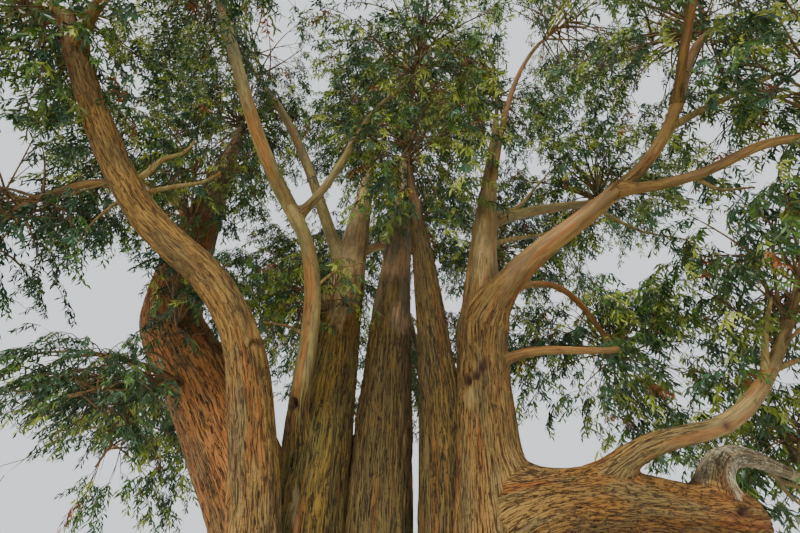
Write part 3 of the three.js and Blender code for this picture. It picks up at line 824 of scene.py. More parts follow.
def limb_skin(name):
    limb = limbs[name]
    seed = list(limbs).index(name)
    line, reach, radii = skin_line(limb)
    marks = ring_marks(limb, reach[0], reach[-1])
    middle = np.stack([np.interp(marks, reach, line[:, axis]) for axis in range(3)], axis=1)
    heading, across, through = carried_frames(middle)
    ring_radius = np.interp(marks, reach, radii)
    sides = int(np.clip(ring_radius.max() * 2 * math.pi / SIDE_WIDTH, FEWEST_SIDES, MOST_SIDES))
    piece, ring, side = rolled_grid(name + "_bark", len(marks) - 1, sides)

    angle = (side % sides) * 2 * math.pi / sides
    turn = np.stack([np.cos(angle), np.sin(angle)], axis=1)
    outward = across[ring] * turn[:, :1] + through[ring] * turn[:, 1:]
    radius = ring_radius[ring]
    where = np.stack([turn[:, 0], turn[:, 1], marks[ring] * FLUTE_PACE], axis=1)
    radius = radius * (1 + 2 * FLUTES * noise(where * (1.3, 1.3, 1.0), 20 + seed))
    if limb.on is None:
        height = np.maximum(middle[ring, 2], 0)
        spread = np.exp(-height / FLARE_HEIGHT)
        lobes = np.cos(BUTTRESSES * angle + seed + 1.5 * noise(where, 40 + seed))
        radius = radius * (1 + spread * (FOOT_FLARE + BUTTRESS_DEPTH * lobes))
    if limb.on is not None:
        rounding = np.clip(1 - (marks[ring] - marks[0]) / (FOOT_ROUNDING * limb.thick), 0, 1)
        radius = radius * np.sqrt(1 - END_ROUNDING * rounding * rounding)
    radius = radius - tucked(limb, marks[ring], outward)
    plain = radius
    change = np.zeros(len(plain))
    for other, first, last, flow in neighbours(name):
        step = swollen(middle[ring], outward, plain, other, first, last, flow) - plain
        change = np.where(np.abs(step) > np.abs(change), step, change)
    radius = np.maximum(plain + change, 0.01)

    grain = np.stack([turn[:, 0] * limb.thick / 2, turn[:, 1] * limb.thick / 2, marks[ring]], axis=1)
    grain = grain + seed * GRAIN_APART
    ragged = noise(grain * SHED_EDGE, 31) * SHED_RAGGED
    shed = np.clip((marks[ring] - limb.smooth_from) / SHED_BLEND + ragged, 0, 1)
    shed = shed * shed * (3 - 2 * shed)
    height, ridge = bark_relief(grain, shed, ring_radius[ring])
    height, shed, dark = wounded(name, middle[ring] + outward * radius[:, None], height, shed)
    past = marks[ring] - (0 if limb.onward else limb.parent_radius)
    kin = 1 - (past + KIN_RAGGED * ragged) / (KIN_BLEND + KIN_BLEND_THICK * limb.thick)
    kin = np.clip(kin, 0, 1) * (limb.on is not None)
    if limb.stub:
        dome = np.clip((marks[ring] - limb.length + limb.thin / 3) / (limb.thin / 3), 0, 1)
        radius = radius * np.sqrt(1 - END_ROUNDING * dome * dome)
    points = middle[ring] + outward * (radius + height)[:, None]

    piece.data.vertices.foreach_set("co", points.ravel())
    keep_bark(piece.data, grain, ridge=ridge, shed=shed, kin=kin, dark=dark)
    close_skin()
    return piece


skins = {name: limb_skin(name) for name in limbs}
print("skins:", len(skins), "faces:", sum(len(piece.data.polygons) for piece in skins.values()))

# %% [markdown]
# ## Colours of the bark
# One recipe finishes every limb, with its own colours. The grain, the ridges, the shed bark and the
# wounds come from the mesh. Fine strings and cracks are added as a bump, the furrows between them
# are darkened and the ridges kept light, partly for the bark's own tones and partly as painted shade
# in the furrows and a painted highlight on the ridges. Long streaks of a second colour run down the
# limb. Near the foot of a bough the colours of its parent's rough bark run on over it, its kin, so
# that no line shows at the fork.

# %% Colours of the barks
# The colours of a bark are those of its ridges, its furrows, the streaks on them and their weathered
# patches, then those of the smooth skin, its patches and its streaks. The ridge and furrow colours
# are partly the bark's own and partly a painted highlight on the ridges and painted shade in the furrows.
BARKS = {
    "red": (
        colour(190, 128, 68), colour(52, 26, 12), colour(178, 92, 38), colour(155, 121, 74),
        colour(150, 116, 74), colour(126, 96, 62), colour(150, 92, 46),
    ),
    "tan": (
        colour(152, 118, 60), colour(62, 39, 16), colour(154, 92, 34), colour(132, 111, 66),
        colour(158, 131, 76), colour(124, 105, 62), colour(146, 103, 50),
    ),
    "olive": (
        colour(136, 108, 42), colour(34, 24, 8), colour(132, 88, 30), colour(112, 98, 46),
        colour(184, 156, 104), colour(144, 124, 84), colour(150, 104, 58),
    ),
    "brown": (
        colour(124, 98, 43), colour(32, 23, 8), colour(126, 83, 34), colour(109, 92, 49),
        colour(122, 107, 75), colour(167, 130, 88), colour(103, 86, 58),
    ),
    "low": (
        colour(143, 100, 41), colour(56, 30, 11), colour(139, 77, 24), colour(129, 105, 58),
        colour(156, 122, 70), colour(132, 103, 64), colour(150, 88, 36),
    ),
    "grey": (
        colour(214, 204, 170), colour(108, 90, 64), colour(192, 168, 124), colour(196, 190, 160),
        colour(204, 194, 160), colour(170, 156, 122), colour(172, 138, 92),
    ),
    "golden": (
        colour(161, 123, 57), colour(88, 57, 24), colour(150, 91, 33), colour(134, 108, 57),
        colour(152, 118, 58), colour(118, 91, 46), colour(142, 86, 32),
    ),
    "pale": (
        colour(156, 122, 58), colour(60, 39, 17), colour(156, 96, 38), colour(137, 118, 68),
        colour(164, 145, 82), colour(129, 116, 67), colour(160, 108, 43),
    ),
}
RINGED = {BARKS["grey"]: 0.5}  # how strongly a bark is ringed
STRING_PACE = 1.4  # how often a string ends, to a metre
STRING_PACES = {BARKS["low"]: 5.0, BARKS["grey"]: 4.0}
WOUND_COLOUR = colour(66, 34, 20)
print("barks:", ", ".join(BARKS))

# %% Bark finish
# How often each pattern repeats to a metre: two numbers round the limb and one along it.
STRINGS_ROUND = 36.0
FIBRES = (70.0, 70.0, 5.0)
CRACKS = (9.0, 9.0, 11.0)
STREAKS = (5.5, 5.5, 0.5)
PATCHES = (3.0, 3.0, 1.0)
RINGS = (1.6, 1.6, 17.0)
FLAKES = (34.0, 34.0, 4.0)
SEAMS = (7.0, 7.0, 0.6)
BUMP = 0.9
BUMP_DEPTH = 0.024
ROUGHNESS = 0.92
SMOOTHER = 0.28  # how much less rough shed bark is


def bark_finish(name, own, kin_colours):
    """The finish of one bark, with the rough colours of a neighbouring one where a bough sets out."""
    finish = Finish(name)
    grain = finish.attribute("grain", "Vector")
    ridge = finish.attribute("ridge", "Fac")
    shed = finish.attribute("shed", "Fac")
    kin = finish.attribute("kin", "Fac")
    dark = finish.attribute("dark", "Fac")
    astray = finish.wandering(grain, 2.5, 0.07)

    string_scale = (STRINGS_ROUND, STRINGS_ROUND, STRING_PACES.get(own, STRING_PACE))
    strings = finish.noise(finish.stretched(astray, string_scale), 1.0, 3.0, 0.6)
    strings = finish.ramp(abs(strings - 0.5), 0.0, 0.055)
    fibres = finish.noise(finish.stretched(astray, FIBRES), 1.0, 4.0, 0.7)
    cracks = finish.lines(finish.stretched(astray, CRACKS), 0.0, 0.02)
    streaks = finish.noise(finish.stretched(grain, STREAKS), 1.0, 4.0, 0.6)
    patches = finish.noise(finish.stretched(astray, PATCHES), 1.0, 5.0, 0.6)

    # Painted light and shade: where the bark stands out it takes the light ridge colour as a painted
    # highlight, and in its furrows and cracks the dark furrow colour as painted shade, on top of their
    # own darker tone.
    standing = strings * 0.6 + ridge * 0.3 + fibres * 0.6
    standing = finish.ramp(standing, 0.36, 1.22) * (cracks * 0.35 + 0.65)
    patchy = finish.ramp(patches, 0.42, 0.6)
    streaky = finish.ramp(streaks, 0.53, 0.66) * 0.8

    rings = finish.noise(finish.stretched(astray, RINGS), 1.0, 3.0, 0.6)
    ringed = 1 - finish.ramp(rings, 0.44, 0.52) * RINGED.get(own, 0.0)

    def rough(ridge_colour, furrow_colour, streak_colour, weathered, *_):
        face = finish.mixed(streaky, finish.mixed(patchy, ridge_colour, weathered), streak_colour)
        # the furrow colour where the bark stands low is partly the bark's own and partly painted shade
        return finish.mixed(standing * ringed, furrow_colour, face)

    rough_colour = rough(*own)
    if kin_colours is not own:
        rough_colour = finish.mixed(kin, rough_colour, rough(*kin_colours))

    _, furrow_colour, _, _, skin_colour, patch_colour, skin_streak = own
    clean = finish.mixed(finish.ramp(patches, 0.44, 0.58), skin_colour, patch_colour)
    clean = finish.mixed(finish.ramp(streaks, 0.51, 0.63), clean, skin_streak)
    flakes = finish.noise(finish.stretched(astray, FLAKES), 1.0, 4.0, 0.65)
    clean = finish.mixed(finish.ramp(flakes, 0.36, 0.56) * 0.45 + 0.55, furrow_colour, clean)
    seams = finish.lines(finish.stretched(astray, SEAMS), 0.0, 0.014)
    clean = finish.mixed(seams * 0.6 + 0.4, furrow_colour, clean)

    base = finish.mixed(dark, finish.mixed(shed, rough_colour, clean), WOUND_COLOUR)
    rough_height = strings * 0.9 + fibres * 0.5 + cracks * 0.25
    even_height = fibres * 0.1 + flakes * 0.25 + patches * 0.3 + seams * 0.25
    height = rough_height * (1 - shed) + even_height * shed
    return finish.finish(base, ROUGHNESS - shed * SMOOTHER, height, bump=BUMP, distance=BUMP_DEPTH)


finishes = {}


def finish_of(bark, beside):
    """The finish for a bark beside another, made when it is first wanted."""
    name = bark + "_bark_by_" + beside
    if name not in finishes:
        finishes[name] = bark_finish(name, BARKS[bark], BARKS[beside])
    return finishes[name]


print("a bark's roughness is", ROUGHNESS, "and less by", SMOOTHER, "where it is shed")

# %% Dress the limbs
for name, piece in skins.items():
    limb = limbs[name]
    piece.data.materials.append(finish_of(limb.bark, limbs[limb.on or name].bark))
    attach(piece, "root")
    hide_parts(name)
print("dressed limbs:", len(skins), "finishes:", len(finishes))

# %% [markdown]
# ## Root crown
# Every stem's skin runs down to the ground in one piece, so that its furrows carry on through the
# root crown. Bisecting cuts it flat at ground level, and again where the stem ends and the root
# crown starts. The six feet together are the root crown.

# %% Cut the feet off at the ground and at the top of the root crown
def bisected(piece, height, keep_above):
    """Cuts a piece level and fills the cut."""
    bpy.ops.object.select_all(action="DESELECT")
    piece.select_set(True)
    bpy.context.view_layer.objects.active = piece
    bpy.ops.object.mode_set(mode="EDIT")
    bpy.ops.mesh.select_all(action="SELECT")
    bpy.ops.mesh.bisect(
        plane_co=(0, 0, height), plane_no=(0, 0, 1), use_fill=True,
        clear_inner=keep_above, clear_outer=not keep_above,
    )
    bpy.ops.object.mode_set(mode="OBJECT")


feet = []
for sizes in STEMS:
    stem = skins[sizes["name"]]
    bisected(stem, 0.0, keep_above=True)
    foot = stem.copy()
    foot.data = stem.data.copy()
    bpy.context.scene.collection.objects.link(foot)
    bisected(foot, ROOT_TOP, keep_above=False)
    bisected(stem, ROOT_TOP, keep_above=True)
    feet.append(foot)

bpy.ops.object.select_all(action="DESELECT")
for foot in feet:
    foot.select_set(True)
bpy.context.view_layer.objects.active = feet[0]
bpy.ops.object.join()
root_crown = bpy.context.object
root_crown.name = root_crown.data.name = "root_crown_bark"
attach(root_crown, "root")
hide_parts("root_crown")
print("root crown faces:", len(root_crown.data.polygons))

# %% [markdown]
# ## Leaf masses
# Each mass fills an ellipsoid. Its own stem carries the limb on through the middle, side twigs
# spread from it to all sides, and each side twig bears branchlets that droop at their ends. These
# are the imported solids' sizes and rule, with more and finer twigs.

# %% Places and sizes of the masses
MASSES = [
    ("leaves_far_left", "stem_far_left", (-5.8, 3.0, 13.8), (3.1, 3.0, 2.7)),
    ("leaves_near_left", "bough_near_left", (-6.8, -2.5, 9.5), (2.9, 2.8, 2.7)),
    ("leaves_hanging_left", "bough_hanging_left", (-6.8, -0.9, 5.7), (2.5, 2.3, 1.9)),
    (
        "leaves_hanging_front", "stem_far_left", (-4.15, -0.95, 2.95), (1.2, 1.1, 0.8),
        0.3, (-0.15, -1, -0.1),
    ),
    ("leaves_front_left", "bough_front_left", (-2.9, -4.7, 10.0), (2.9, 2.4, 2.3)),
    ("leaves_mid_left", "stem_mid_left", (-1.3, 3.7, 14.5), (2.9, 2.8, 2.6)),
    ("leaves_pale_upper", "bough_pale_upper", (-4.4, -2.5, 11.9), (2.7, 2.5, 2.3)),
    ("leaves_pale_side", "bough_pale_side", (0.4, -1.1, 11.4), (2.6, 2.4, 2.1)),
    ("leaves_steep_left", "bough_steep_left", (-5.0, 0.2, 13.8), (2.7, 2.6, 2.4)),
    ("leaves_inner", "stem_far_left", (-4.6, 0.2, 8.6), (1.8, 1.3, 1.6), 0.6, (0.2, -1, 0.5)),
    ("leaves_slim", "stem_slim", (0.3, 0.0, 9.0), (2.2, 1.7, 2.5)),
    ("leaves_right", "stem_right", (3.1, 1.7, 13.8), (2.7, 2.7, 2.6)),
    ("leaves_wand", "bough_wand", (5.5, 0.4, 15.4), (2.8, 2.6, 2.4)),
    ("leaves_right_upper", "bough_right_upper", (6.1, -1.2, 11.0), (2.8, 2.6, 2.5)),
    ("leaves_right_level", "bough_right_level", (6.7, -2.3, 7.8), (2.4, 2.5, 1.9)),
    ("leaves_front_right", "bough_front_right", (4.3, -4.6, 9.9), (2.8, 2.4, 2.3)),
    ("leaves_far_right", "bough_far_right", (6.0, 2.8, 10.0), (3.3, 2.9, 2.8)),
    ("leaves_arched", "bough_arched", (4.9, 2.9, 5.0), (3.0, 2.4, 2.3)),
    ("leaves_back_right", "bough_back_right", (3.6, 5.8, 10.4), (3.1, 2.9, 2.7)),
    ("leaves_low_upper", "bough_low_upper", (6.6, -0.6, 5.3), (2.4, 2.3, 2.2)),
    ("leaves_low_end", "bough_low_end", (6.6, 1.0, 2.8), (2.3, 2.1, 1.5)),
    ("leaves_back_left_low", "bough_back_left_low", (-6.9, 4.2, 3.3), (2.7, 2.5, 1.9)),
    ("leaves_far_left_high", "bough_far_left_high", (-7.9, 1.8, 10.0), (2.4, 2.6, 2.5)),
    ("leaves_stem_tuft", "stem_far_left", (-3.9, -0.1, 5.1), (1.4, 1.1, 1.1), 0.38, (0.1, -1, 0.3)),
    ("leaves_leader", "stem_leader", (0.3, 3.7, 17.4), (3.3, 3.1, 2.6)),
    ("leaves_back_high", "bough_back_high", (0.7, 6.7, 12.6), (3.1, 2.7, 2.7)),
    ("leaves_back_left", "bough_back_left", (-3.2, 6.2, 8.5), (3.0, 2.8, 3.1)),
    ("leaves_back_low", "bough_back_low", (0.9, 6.4, 5.7), (3.2, 2.5, 2.3)),
    ("leaves_mid_tuft", "stem_mid_left", (-1.7, 0.3, 4.9), (1.1, 0.7, 1.2), 0.36, (-0.2, -1, 0.4)),
]
CROWN_MIDDLE = np.array((-0.5, 1.0, 8.5))
STEM_BEYOND = 0.35
FEWEST_TWIGS = 14
LEAF_SIZES = {  # masses that hang low and near bear smaller leaves, and more of them
    "leaves_hanging_front": 0.56, "leaves_stem_tuft": 0.7, "leaves_mid_tuft": 0.72,
    "leaves_inner": 0.85, "leaves_hanging_left": 0.8,
}
REACHES = {"leaves_back_left": 1.13, "leaves_inner": 1.12}  # masses that spread into a gap
TWIGS_PER_SPACE = 2.1
SIDE_STEM = 0.06  # thickness of the stem of a mass that grows from the side of a limb


class Mass:
    """The space of one leaf mass and the way its stem sets out."""

    def __init__(self, name, on, middle, half, at=1.0, side=None):
        limb = limbs[on]
        far = at * limb.length
        self.name, self.middle = name, np.array(middle)
        self.half = np.array(half) * REACHES.get(name, 1.0)
        self.bark = limb.bark if side is None else "brown"
        self.leaf_size = LEAF_SIZES.get(name, 1.0)
        self.twigs = int((FEWEST_TWIGS + TWIGS_PER_SPACE * self.half.prod()) / self.leaf_size**2)
        self.beyond = STEM_BEYOND if side is None else 0.0
        self.start = places_at(limb.line, np.array([far]))[0]
        self.heading = limb.heading if side is None else unit(np.array(side, float))
        self.thick = float(limb.radius(far)) if side is None else SIDE_STEM / 2
        self.outward = unit(self.middle - CROWN_MIDDLE)

    def depth(self, points):
        """How far out points are: 0 in the middle of the space, 1 on its surface."""
        return np.linalg.norm((points - self.middle) / self.half, axis=-1)


masses = [Mass(*sizes) for sizes in MASSES]
room = sum(4 / 3 * math.pi * mass.half.prod() for mass in masses)
print("masses:", len(masses), "filling", round(room), "cubic metres")

# %% [markdown]
# ## One leaf and one spray
# A leaf of this gum tree is a narrow sickle that hangs edge on. Four points and two triangles hold
# its crescent and its curl. A spray is a short drooping shoot with its leaves on alternate sides. A
# few different sprays are made once and then dealt out over the whole crown.

# %% Leaf and spray
LEAF_LENGTH = 0.18
LEAF_LENGTHS = (0.75, 1.2)  # shortest and longest leaf, as shares
LEAF_WIDTH = 0.037
LEAF_WIDTHS = (0.85, 1.15)
LEAF_SICKLE = (0.04, 0.13)
LEAF_CURL = 0.1
LEAF_SHARES = np.array((0.0, 0.36, 0.58, 1.0))
LEAF_SIDES = np.array((0.0, 0.5, -0.5, 0.0))
SPRAY_KINDS = 16
SPRAY_LEAVES = 20
SPRAY_LENGTH = 0.5
SPRAY_BEND = 0.15
LEAF_TURN = 2.4  # turn from one leaf to the next, in radians
LEAF_TURN_STRAY = 0.6
LEAF_LEAN = (0.25, 0.95)
LEAF_HANG = 0.75


def leaf_points(root, direction, random):
    """The four points of a leaf that hangs from root."""
    length = LEAF_LENGTH * random.uniform(*LEAF_LENGTHS)
    width = LEAF_WIDTH * random.uniform(*LEAF_WIDTHS)
    across = unit(np.cross(direction, random.normal(size=3)))
    through = np.cross(across, direction)
    bulge = 4 * LEAF_SHARES * (1 - LEAF_SHARES)
    sickle = random.uniform(*LEAF_SICKLE) * random.choice((-1, 1)) * bulge * length
    curl = random.uniform(-LEAF_CURL, LEAF_CURL) * bulge * length
    return (
        root
        + direction * (LEAF_SHARES * length)[:, None]
        + across * (LEAF_SIDES * width + sickle)[:, None]
        + through * curl[:, None]
    )


def spray(random):
    """A shoot that sets out along x and droops, as its middle line and the points of its leaves."""
    bend = random.uniform(-SPRAY_BEND, SPRAY_BEND)
    arch = [(0, 0, 0), (0.5, bend, 0.05), (0.75, bend, -0.68)]
    line = bezier(arch, np.linspace(0, 1, 3)) * SPRAY_LENGTH
    leaves = []
    for number in range(SPRAY_LEAVES):
        share = 0.1 + 0.9 * (number + random.uniform(0, 1)) / SPRAY_LEAVES
        root = places_at(line, np.array([share * distances(line)[-1]]))[0]
        turn = number * LEAF_TURN + random.uniform(-LEAF_TURN_STRAY, LEAF_TURN_STRAY)
        lean = random.uniform(*LEAF_LEAN)
        direction = unit(np.array((math.cos(turn) * lean + 0.15, math.sin(turn) * lean, -LEAF_HANG)))
        leaves.append(leaf_points(root, direction, random))
    return line, np.array(leaves)


spray_random = np.random.default_rng(77)
SPRAYS = [spray(spray_random) for _ in range(SPRAY_KINDS)]
print("sprays:", len(SPRAYS), "of", SPRAY_LEAVES, "leaves")

# %% [markdown]
# ## Growth of a mass
# All twigs of one order are grown at once, as arrays of curves. A spray that would leave its
# space, press far into a neighbouring one or touch a limb is left out, and so is one that would
# close a place where the crown stands open.

# %% Where the crown stands open
OPENINGS = [  # px, py, half width and half height of gaps, seen from the photograph's place
    (106, 300, 40, 48), (12, 480, 32, 58), (14, 160, 26, 30), (10, 320, 22, 36), (112, 468, 46, 11),
    (126, 192, 20, 8), (278, 30, 22, 40), (514, 44, 17, 44), (604, 12, 34, 18), (652, 86, 18, 18),
    (706, 134, 13, 30), (692, 196, 13, 10), (630, 270, 20, 17), (600, 264, 20, 9), (672, 372, 13, 34),
    (558, 454, 33, 27),
]


def in_an_opening(points):
    """Whether points lie in one of the crown's gaps, whose edges are ragged."""
    px, py, depth = seen_at(points)
    ragged = 1 + 0.5 * noise(points * 1.7, 72)
    found = np.zeros(len(points), bool)
    for middle_px, middle_py, half_px, half_py in OPENINGS:
        found |= ((px - middle_px) / half_px) ** 2 + ((py - middle_py) / half_py) ** 2 < ragged
    return found & (depth > NEAREST)


print("openings:", len(OPENINGS))

# %% Curves and clearances
SPACE_LIMIT = 1.09
SPACE_RAGGED = 0.16
SPACE_OVERLAP = 0.16
BOX_MARGIN = 0.25
WOOD_MARKS = 40  # places along each limb that twigs keep clear of
LIMB_PAD = 0.13
AIM_STRAY = 0.16  # how far side twigs stray from evenly spread directions


def curves(starts, pulls, ends, steps, until=1.0):
    """Many quadratic curves at once, each drawn up to a share of its whole."""
    share = (np.linspace(0, 1, steps) * np.reshape(until, (-1, 1)))[:, :, None]
    starts, pulls, ends = starts[:, None], pulls[:, None], ends[:, None]
    return starts * (1 - share) ** 2 + pulls * 2 * share * (1 - share) + ends * share**2


def spread_directions(count, outward, random):
    """Evenly spread directions, turned so that the first of them points outward."""
    number = np.arange(count)
    height = 1 - 2 * (number + 0.5) / count
    turn = number * math.pi * (3 - math.sqrt(5)) + random.uniform(0, 6)
    flat = np.sqrt(1 - height**2)
    local = np.stack([np.cos(turn) * flat, np.sin(turn) * flat, height], axis=1)
    local = unit(local + random.normal(scale=AIM_STRAY, size=local.shape))
    spin = Vector((0, 0, 1)).rotation_difference(Vector(outward)).to_matrix()
    return local @ np.array(spin).T


wood_marks = [np.linspace(0, limb.length, WOOD_MARKS) for limb in limbs.values()]
wood_places = np.concatenate([places_at(limb.line, far) for limb, far in zip(limbs.values(), wood_marks)])
wood_radii = np.concatenate([limb.radius(far) for limb, far in zip(limbs.values(), wood_marks)])


def off_the_wood(points):
    """Whether points keep clear of every limb."""
    clear = np.ones(len(points), bool)
    for place, radius in zip(wood_places, wood_radii):
        clear &= ((points - place) ** 2).sum(axis=1) > (radius + LIMB_PAD) ** 2
    return clear


def keeps_to(mass, points):
    """Whether points lie in a mass's own space, off the wood and inside the tree's box."""
    depth = mass.depth(points)
    keep = depth < SPACE_LIMIT + SPACE_RAGGED * noise(points * 0.9, 71)
    keep &= ((points > cad_low + BOX_MARGIN) & (points < cad_high - BOX_MARGIN)).all(axis=1)
    for other in masses:
        if other is not mass:
            keep &= other.depth(points) > depth - SPACE_OVERLAP
    return keep & off_the_wood(points) & ~in_an_opening(points)


print("places on the wood that twigs keep clear of:", len(wood_places))

# %% Growth
FIRST_SEED = 201
STEM_AHEAD = 0.45
STEM_STEPS = 24
STEM_SIDES = 12
STEM_TIP = 0.025
TWIG_ROOTS = (0.12, 0.98)  # where along its mass's stem a side twig may set out
TWIG_REACH = (0.66, 0.97)
TWIG_ARCH = 0.12
TWIG_STRAY = 0.06
TWIG_STEPS = 7
TWIG_SIDES = 4
TWIG_THICK = 0.024
TWIG_THICKER = 0.014  # more thickness to each metre of a twig's length
TWIG_TIP = 0.2
FIRST_BRANCHLET = 0.3
BRANCHLETS = 6
BRANCHLET_AIMS = (0.7, 0.6, 0.45)  # how much the twig, chance and the way outward turn a branchlet
BRANCHLET_LENGTHS = (0.4, 0.95)
BRANCHLET_DROOP = 0.22
BRANCHLET_LIFT = 0.1
BRANCHLET_LEAD = 0.55
BRANCHLET_RADII = np.array((0.009, 0.008, 0.006, 0.002))
BRANCHLET_SIDES = 3
BRANCHLET_SPRAYS = (0.4, 0.72, 1.0)
SPRAY_HANG = 0.2
SPRAY_STRAY = 0.8
FINE_STEPS = 20  # steps to a fine curve, on which the places of branchlets and sprays are found


def grow(mass, seed):
    """The twigs of one mass, as curves with their radii, and the places of its sprays."""
    random = np.random.default_rng(seed)
    end = mass.middle + (mass.middle - mass.start) * mass.beyond
    pull = mass.start + mass.heading * STEM_AHEAD * np.linalg.norm(end - mass.start)
    stem = curves(mass.start[None], pull[None], end[None], STEM_STEPS)
    stem_radii = mass.thick + (STEM_TIP - mass.thick) * np.linspace(0, 1, STEM_STEPS)[None] ** 0.8

    count = mass.twigs
    aims = spread_directions(count, mass.outward, random)
    roots = bezier([mass.start, pull, end], random.uniform(*TWIG_ROOTS, count))
    ends = mass.middle + aims * mass.half * random.uniform(*TWIG_REACH, (count, 1))
    kept = keeps_to(mass, ends)
    roots, ends = roots[kept], ends[kept]
    spans = np.linalg.norm(ends - roots, axis=1)
    arch = np.array((0, 0, 2 * TWIG_ARCH)) * spans[:, None]
    stray = random.normal(scale=TWIG_STRAY, size=roots.shape) * spans[:, None]
    middle = (roots + ends) / 2 + arch + stray

    shares = np.linspace(FIRST_BRANCHLET, 1.0, BRANCHLETS)
    steps = np.rint(shares * 2 * FINE_STEPS).astype(int)
    picked = curves(roots, middle, ends, 2 * FINE_STEPS + 1)[:, steps]
    tangent = unit(np.gradient(picked, axis=1))
    from_middle = unit((picked - mass.middle) / mass.half)
    onward, chance, out = BRANCHLET_AIMS
    aim = tangent * onward + random.normal(scale=chance, size=picked.shape) + from_middle * out
    aim = unit(aim).reshape(-1, 3)
    feet = picked.reshape(-1, 3)
    long = random.uniform(*BRANCHLET_LENGTHS, (len(feet), 1))
    tips = feet + aim * long - np.array((0, 0, BRANCHLET_DROOP)) * long
    inside = keeps_to(mass, tips)
    until = (inside.reshape(-1, BRANCHLETS) * shares).max(axis=1)
    bearing = until > FIRST_BRANCHLET
    sides = curves(roots[bearing], middle[bearing], ends[bearing], TWIG_STEPS, until[bearing])
    thick = TWIG_THICK + TWIG_THICKER * spans[bearing]
    side_radii = thick[:, None] / 2 * np.linspace(1, TWIG_TIP, TWIG_STEPS)
    feet, tips, aim, long = feet[inside], tips[inside], aim[inside], long[inside]
    lifted = feet + aim * long * BRANCHLET_LEAD + np.array((0, 0, BRANCHLET_LIFT)) * long
    branchlets = curves(feet, lifted, tips, len(BRANCHLET_RADII))
    branchlet_radii = BRANCHLET_RADII[None] * np.ones((len(feet), 1))

    steps = [int(share * FINE_STEPS) for share in BRANCHLET_SPRAYS]
    places = curves(feet, lifted, tips, FINE_STEPS + 1)[:, steps].reshape(-1, 3)
    heading = np.repeat(np.arctan2(aim[:, 1], aim[:, 0]), len(BRANCHLET_SPRAYS))
    heading = heading + random.normal(scale=SPRAY_STRAY, size=len(heading))
    kept = keeps_to(mass, places - (0, 0, SPRAY_HANG))
    twigs = [
        (stem, stem_radii, STEM_SIDES),
        (sides, side_radii, TWIG_SIDES),
        (branchlets, branchlet_radii, BRANCHLET_SIDES),
    ]
    return twigs, places[kept], heading[kept], random


grown = [grow(mass, FIRST_SEED + number) for number, mass in enumerate(masses)]
print("sprays in the crown:", sum(len(places) for _, places, _, _ in grown))

# %% [markdown]
# ## Tubes and leaves as arrays
# Thousands of twigs are too many for operators one by one, so they are made as arrays: a ring of
# points round every step of every curve, joined by faces and closed at both ends.

# %% Meshes from arrays
def mesh_piece(name, points, face_sets, *materials):
    """A piece from an array of points and arrays of faces with three, four or more corners."""
    corners = np.concatenate([faces.ravel() for faces in face_sets]).astype(np.int32)
    counts = np.concatenate([np.full(len(faces), faces.shape[1]) for faces in face_sets])
    starts = np.concatenate([[0], np.cumsum(counts)[:-1]]).astype(np.int32)
    mesh = bpy.data.meshes.new(name)
    mesh.vertices.add(len(points))
    mesh.vertices.foreach_set("co", points.astype(np.float32).ravel())
    mesh.loops.add(len(corners))
    mesh.loops.foreach_set("vertex_index", corners)
    mesh.polygons.add(len(starts))
    mesh.polygons.foreach_set("loop_start", starts)
    mesh.update(calc_edges=True)
    mesh.shade_smooth()
    for material in materials:
        mesh.materials.append(material)
    piece = bpy.data.objects.new(name, mesh)
    bpy.context.scene.collection.objects.link(piece)
    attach(piece, "root")
    return piece


def tubes(lines, radii, sides, pointed=False):
    """Points and faces of a closed tube round each of many lines. A pointed one ends in a point."""
    heading = unit(np.gradient(lines, axis=1))
    across = unit(np.cross(heading, np.array((0.31, 0.22, 0.92))))
    through = np.cross(heading, across)
    angle = np.arange(sides) * 2 * math.pi / sides
    turn = across[:, :, None] * np.cos(angle)[:, None] + through[:, :, None] * np.sin(angle)[:, None]
    points = lines[:, :, None] + turn * radii[:, :, None, None]
    tips = lines[:, -1]
    if pointed:
        points = points[:, :-1]
    count, steps = points.shape[:2]
    number = np.arange(count * steps * sides).reshape(count, steps, sides)
    after = np.roll(number, -1, axis=2)
    walls = np.stack([number[:, :-1], after[:, :-1], after[:, 1:], number[:, 1:]], axis=-1).reshape(-1, 4)
    points = points.reshape(-1, 3)
    if not pointed:
        return points, [walls, number[:, 0, ::-1], number[:, -1]]
    tip = np.broadcast_to(len(points) + np.arange(count)[:, None], (count, sides))
    ends = np.stack([number[:, -1], after[:, -1], tip], axis=-1).reshape(-1, 3)
    return np.concatenate([points, tips]), [walls, number[:, 0, ::-1], ends]


def joined(parts):
    """Several sets of points and faces as one."""
    points, face_sets, offset = [], [], 0
    for some_points, some_faces in parts:
        points.append(some_points)
        face_sets.extend(faces + offset for faces in some_faces)
        offset += len(some_points)
    return np.concatenate(points), face_sets


trial = tubes(np.array([[(0.0, 0.0, 0.0), (0.0, 0.0, 1.0), (0.0, 0.0, 2.0)]]), np.ones((1, 3)), 4)
print("a tube of three rings with four sides has", len(trial[0]), "points")

# %% [markdown]
# ## Leaves
# Every spray is turned, sized and set in its place. The colour of a leaf is a plain one, dealt out
# by spray: deep green within the crown, lighter and yellower where the light reaches it, and now
# and then the rust of a dying spray.

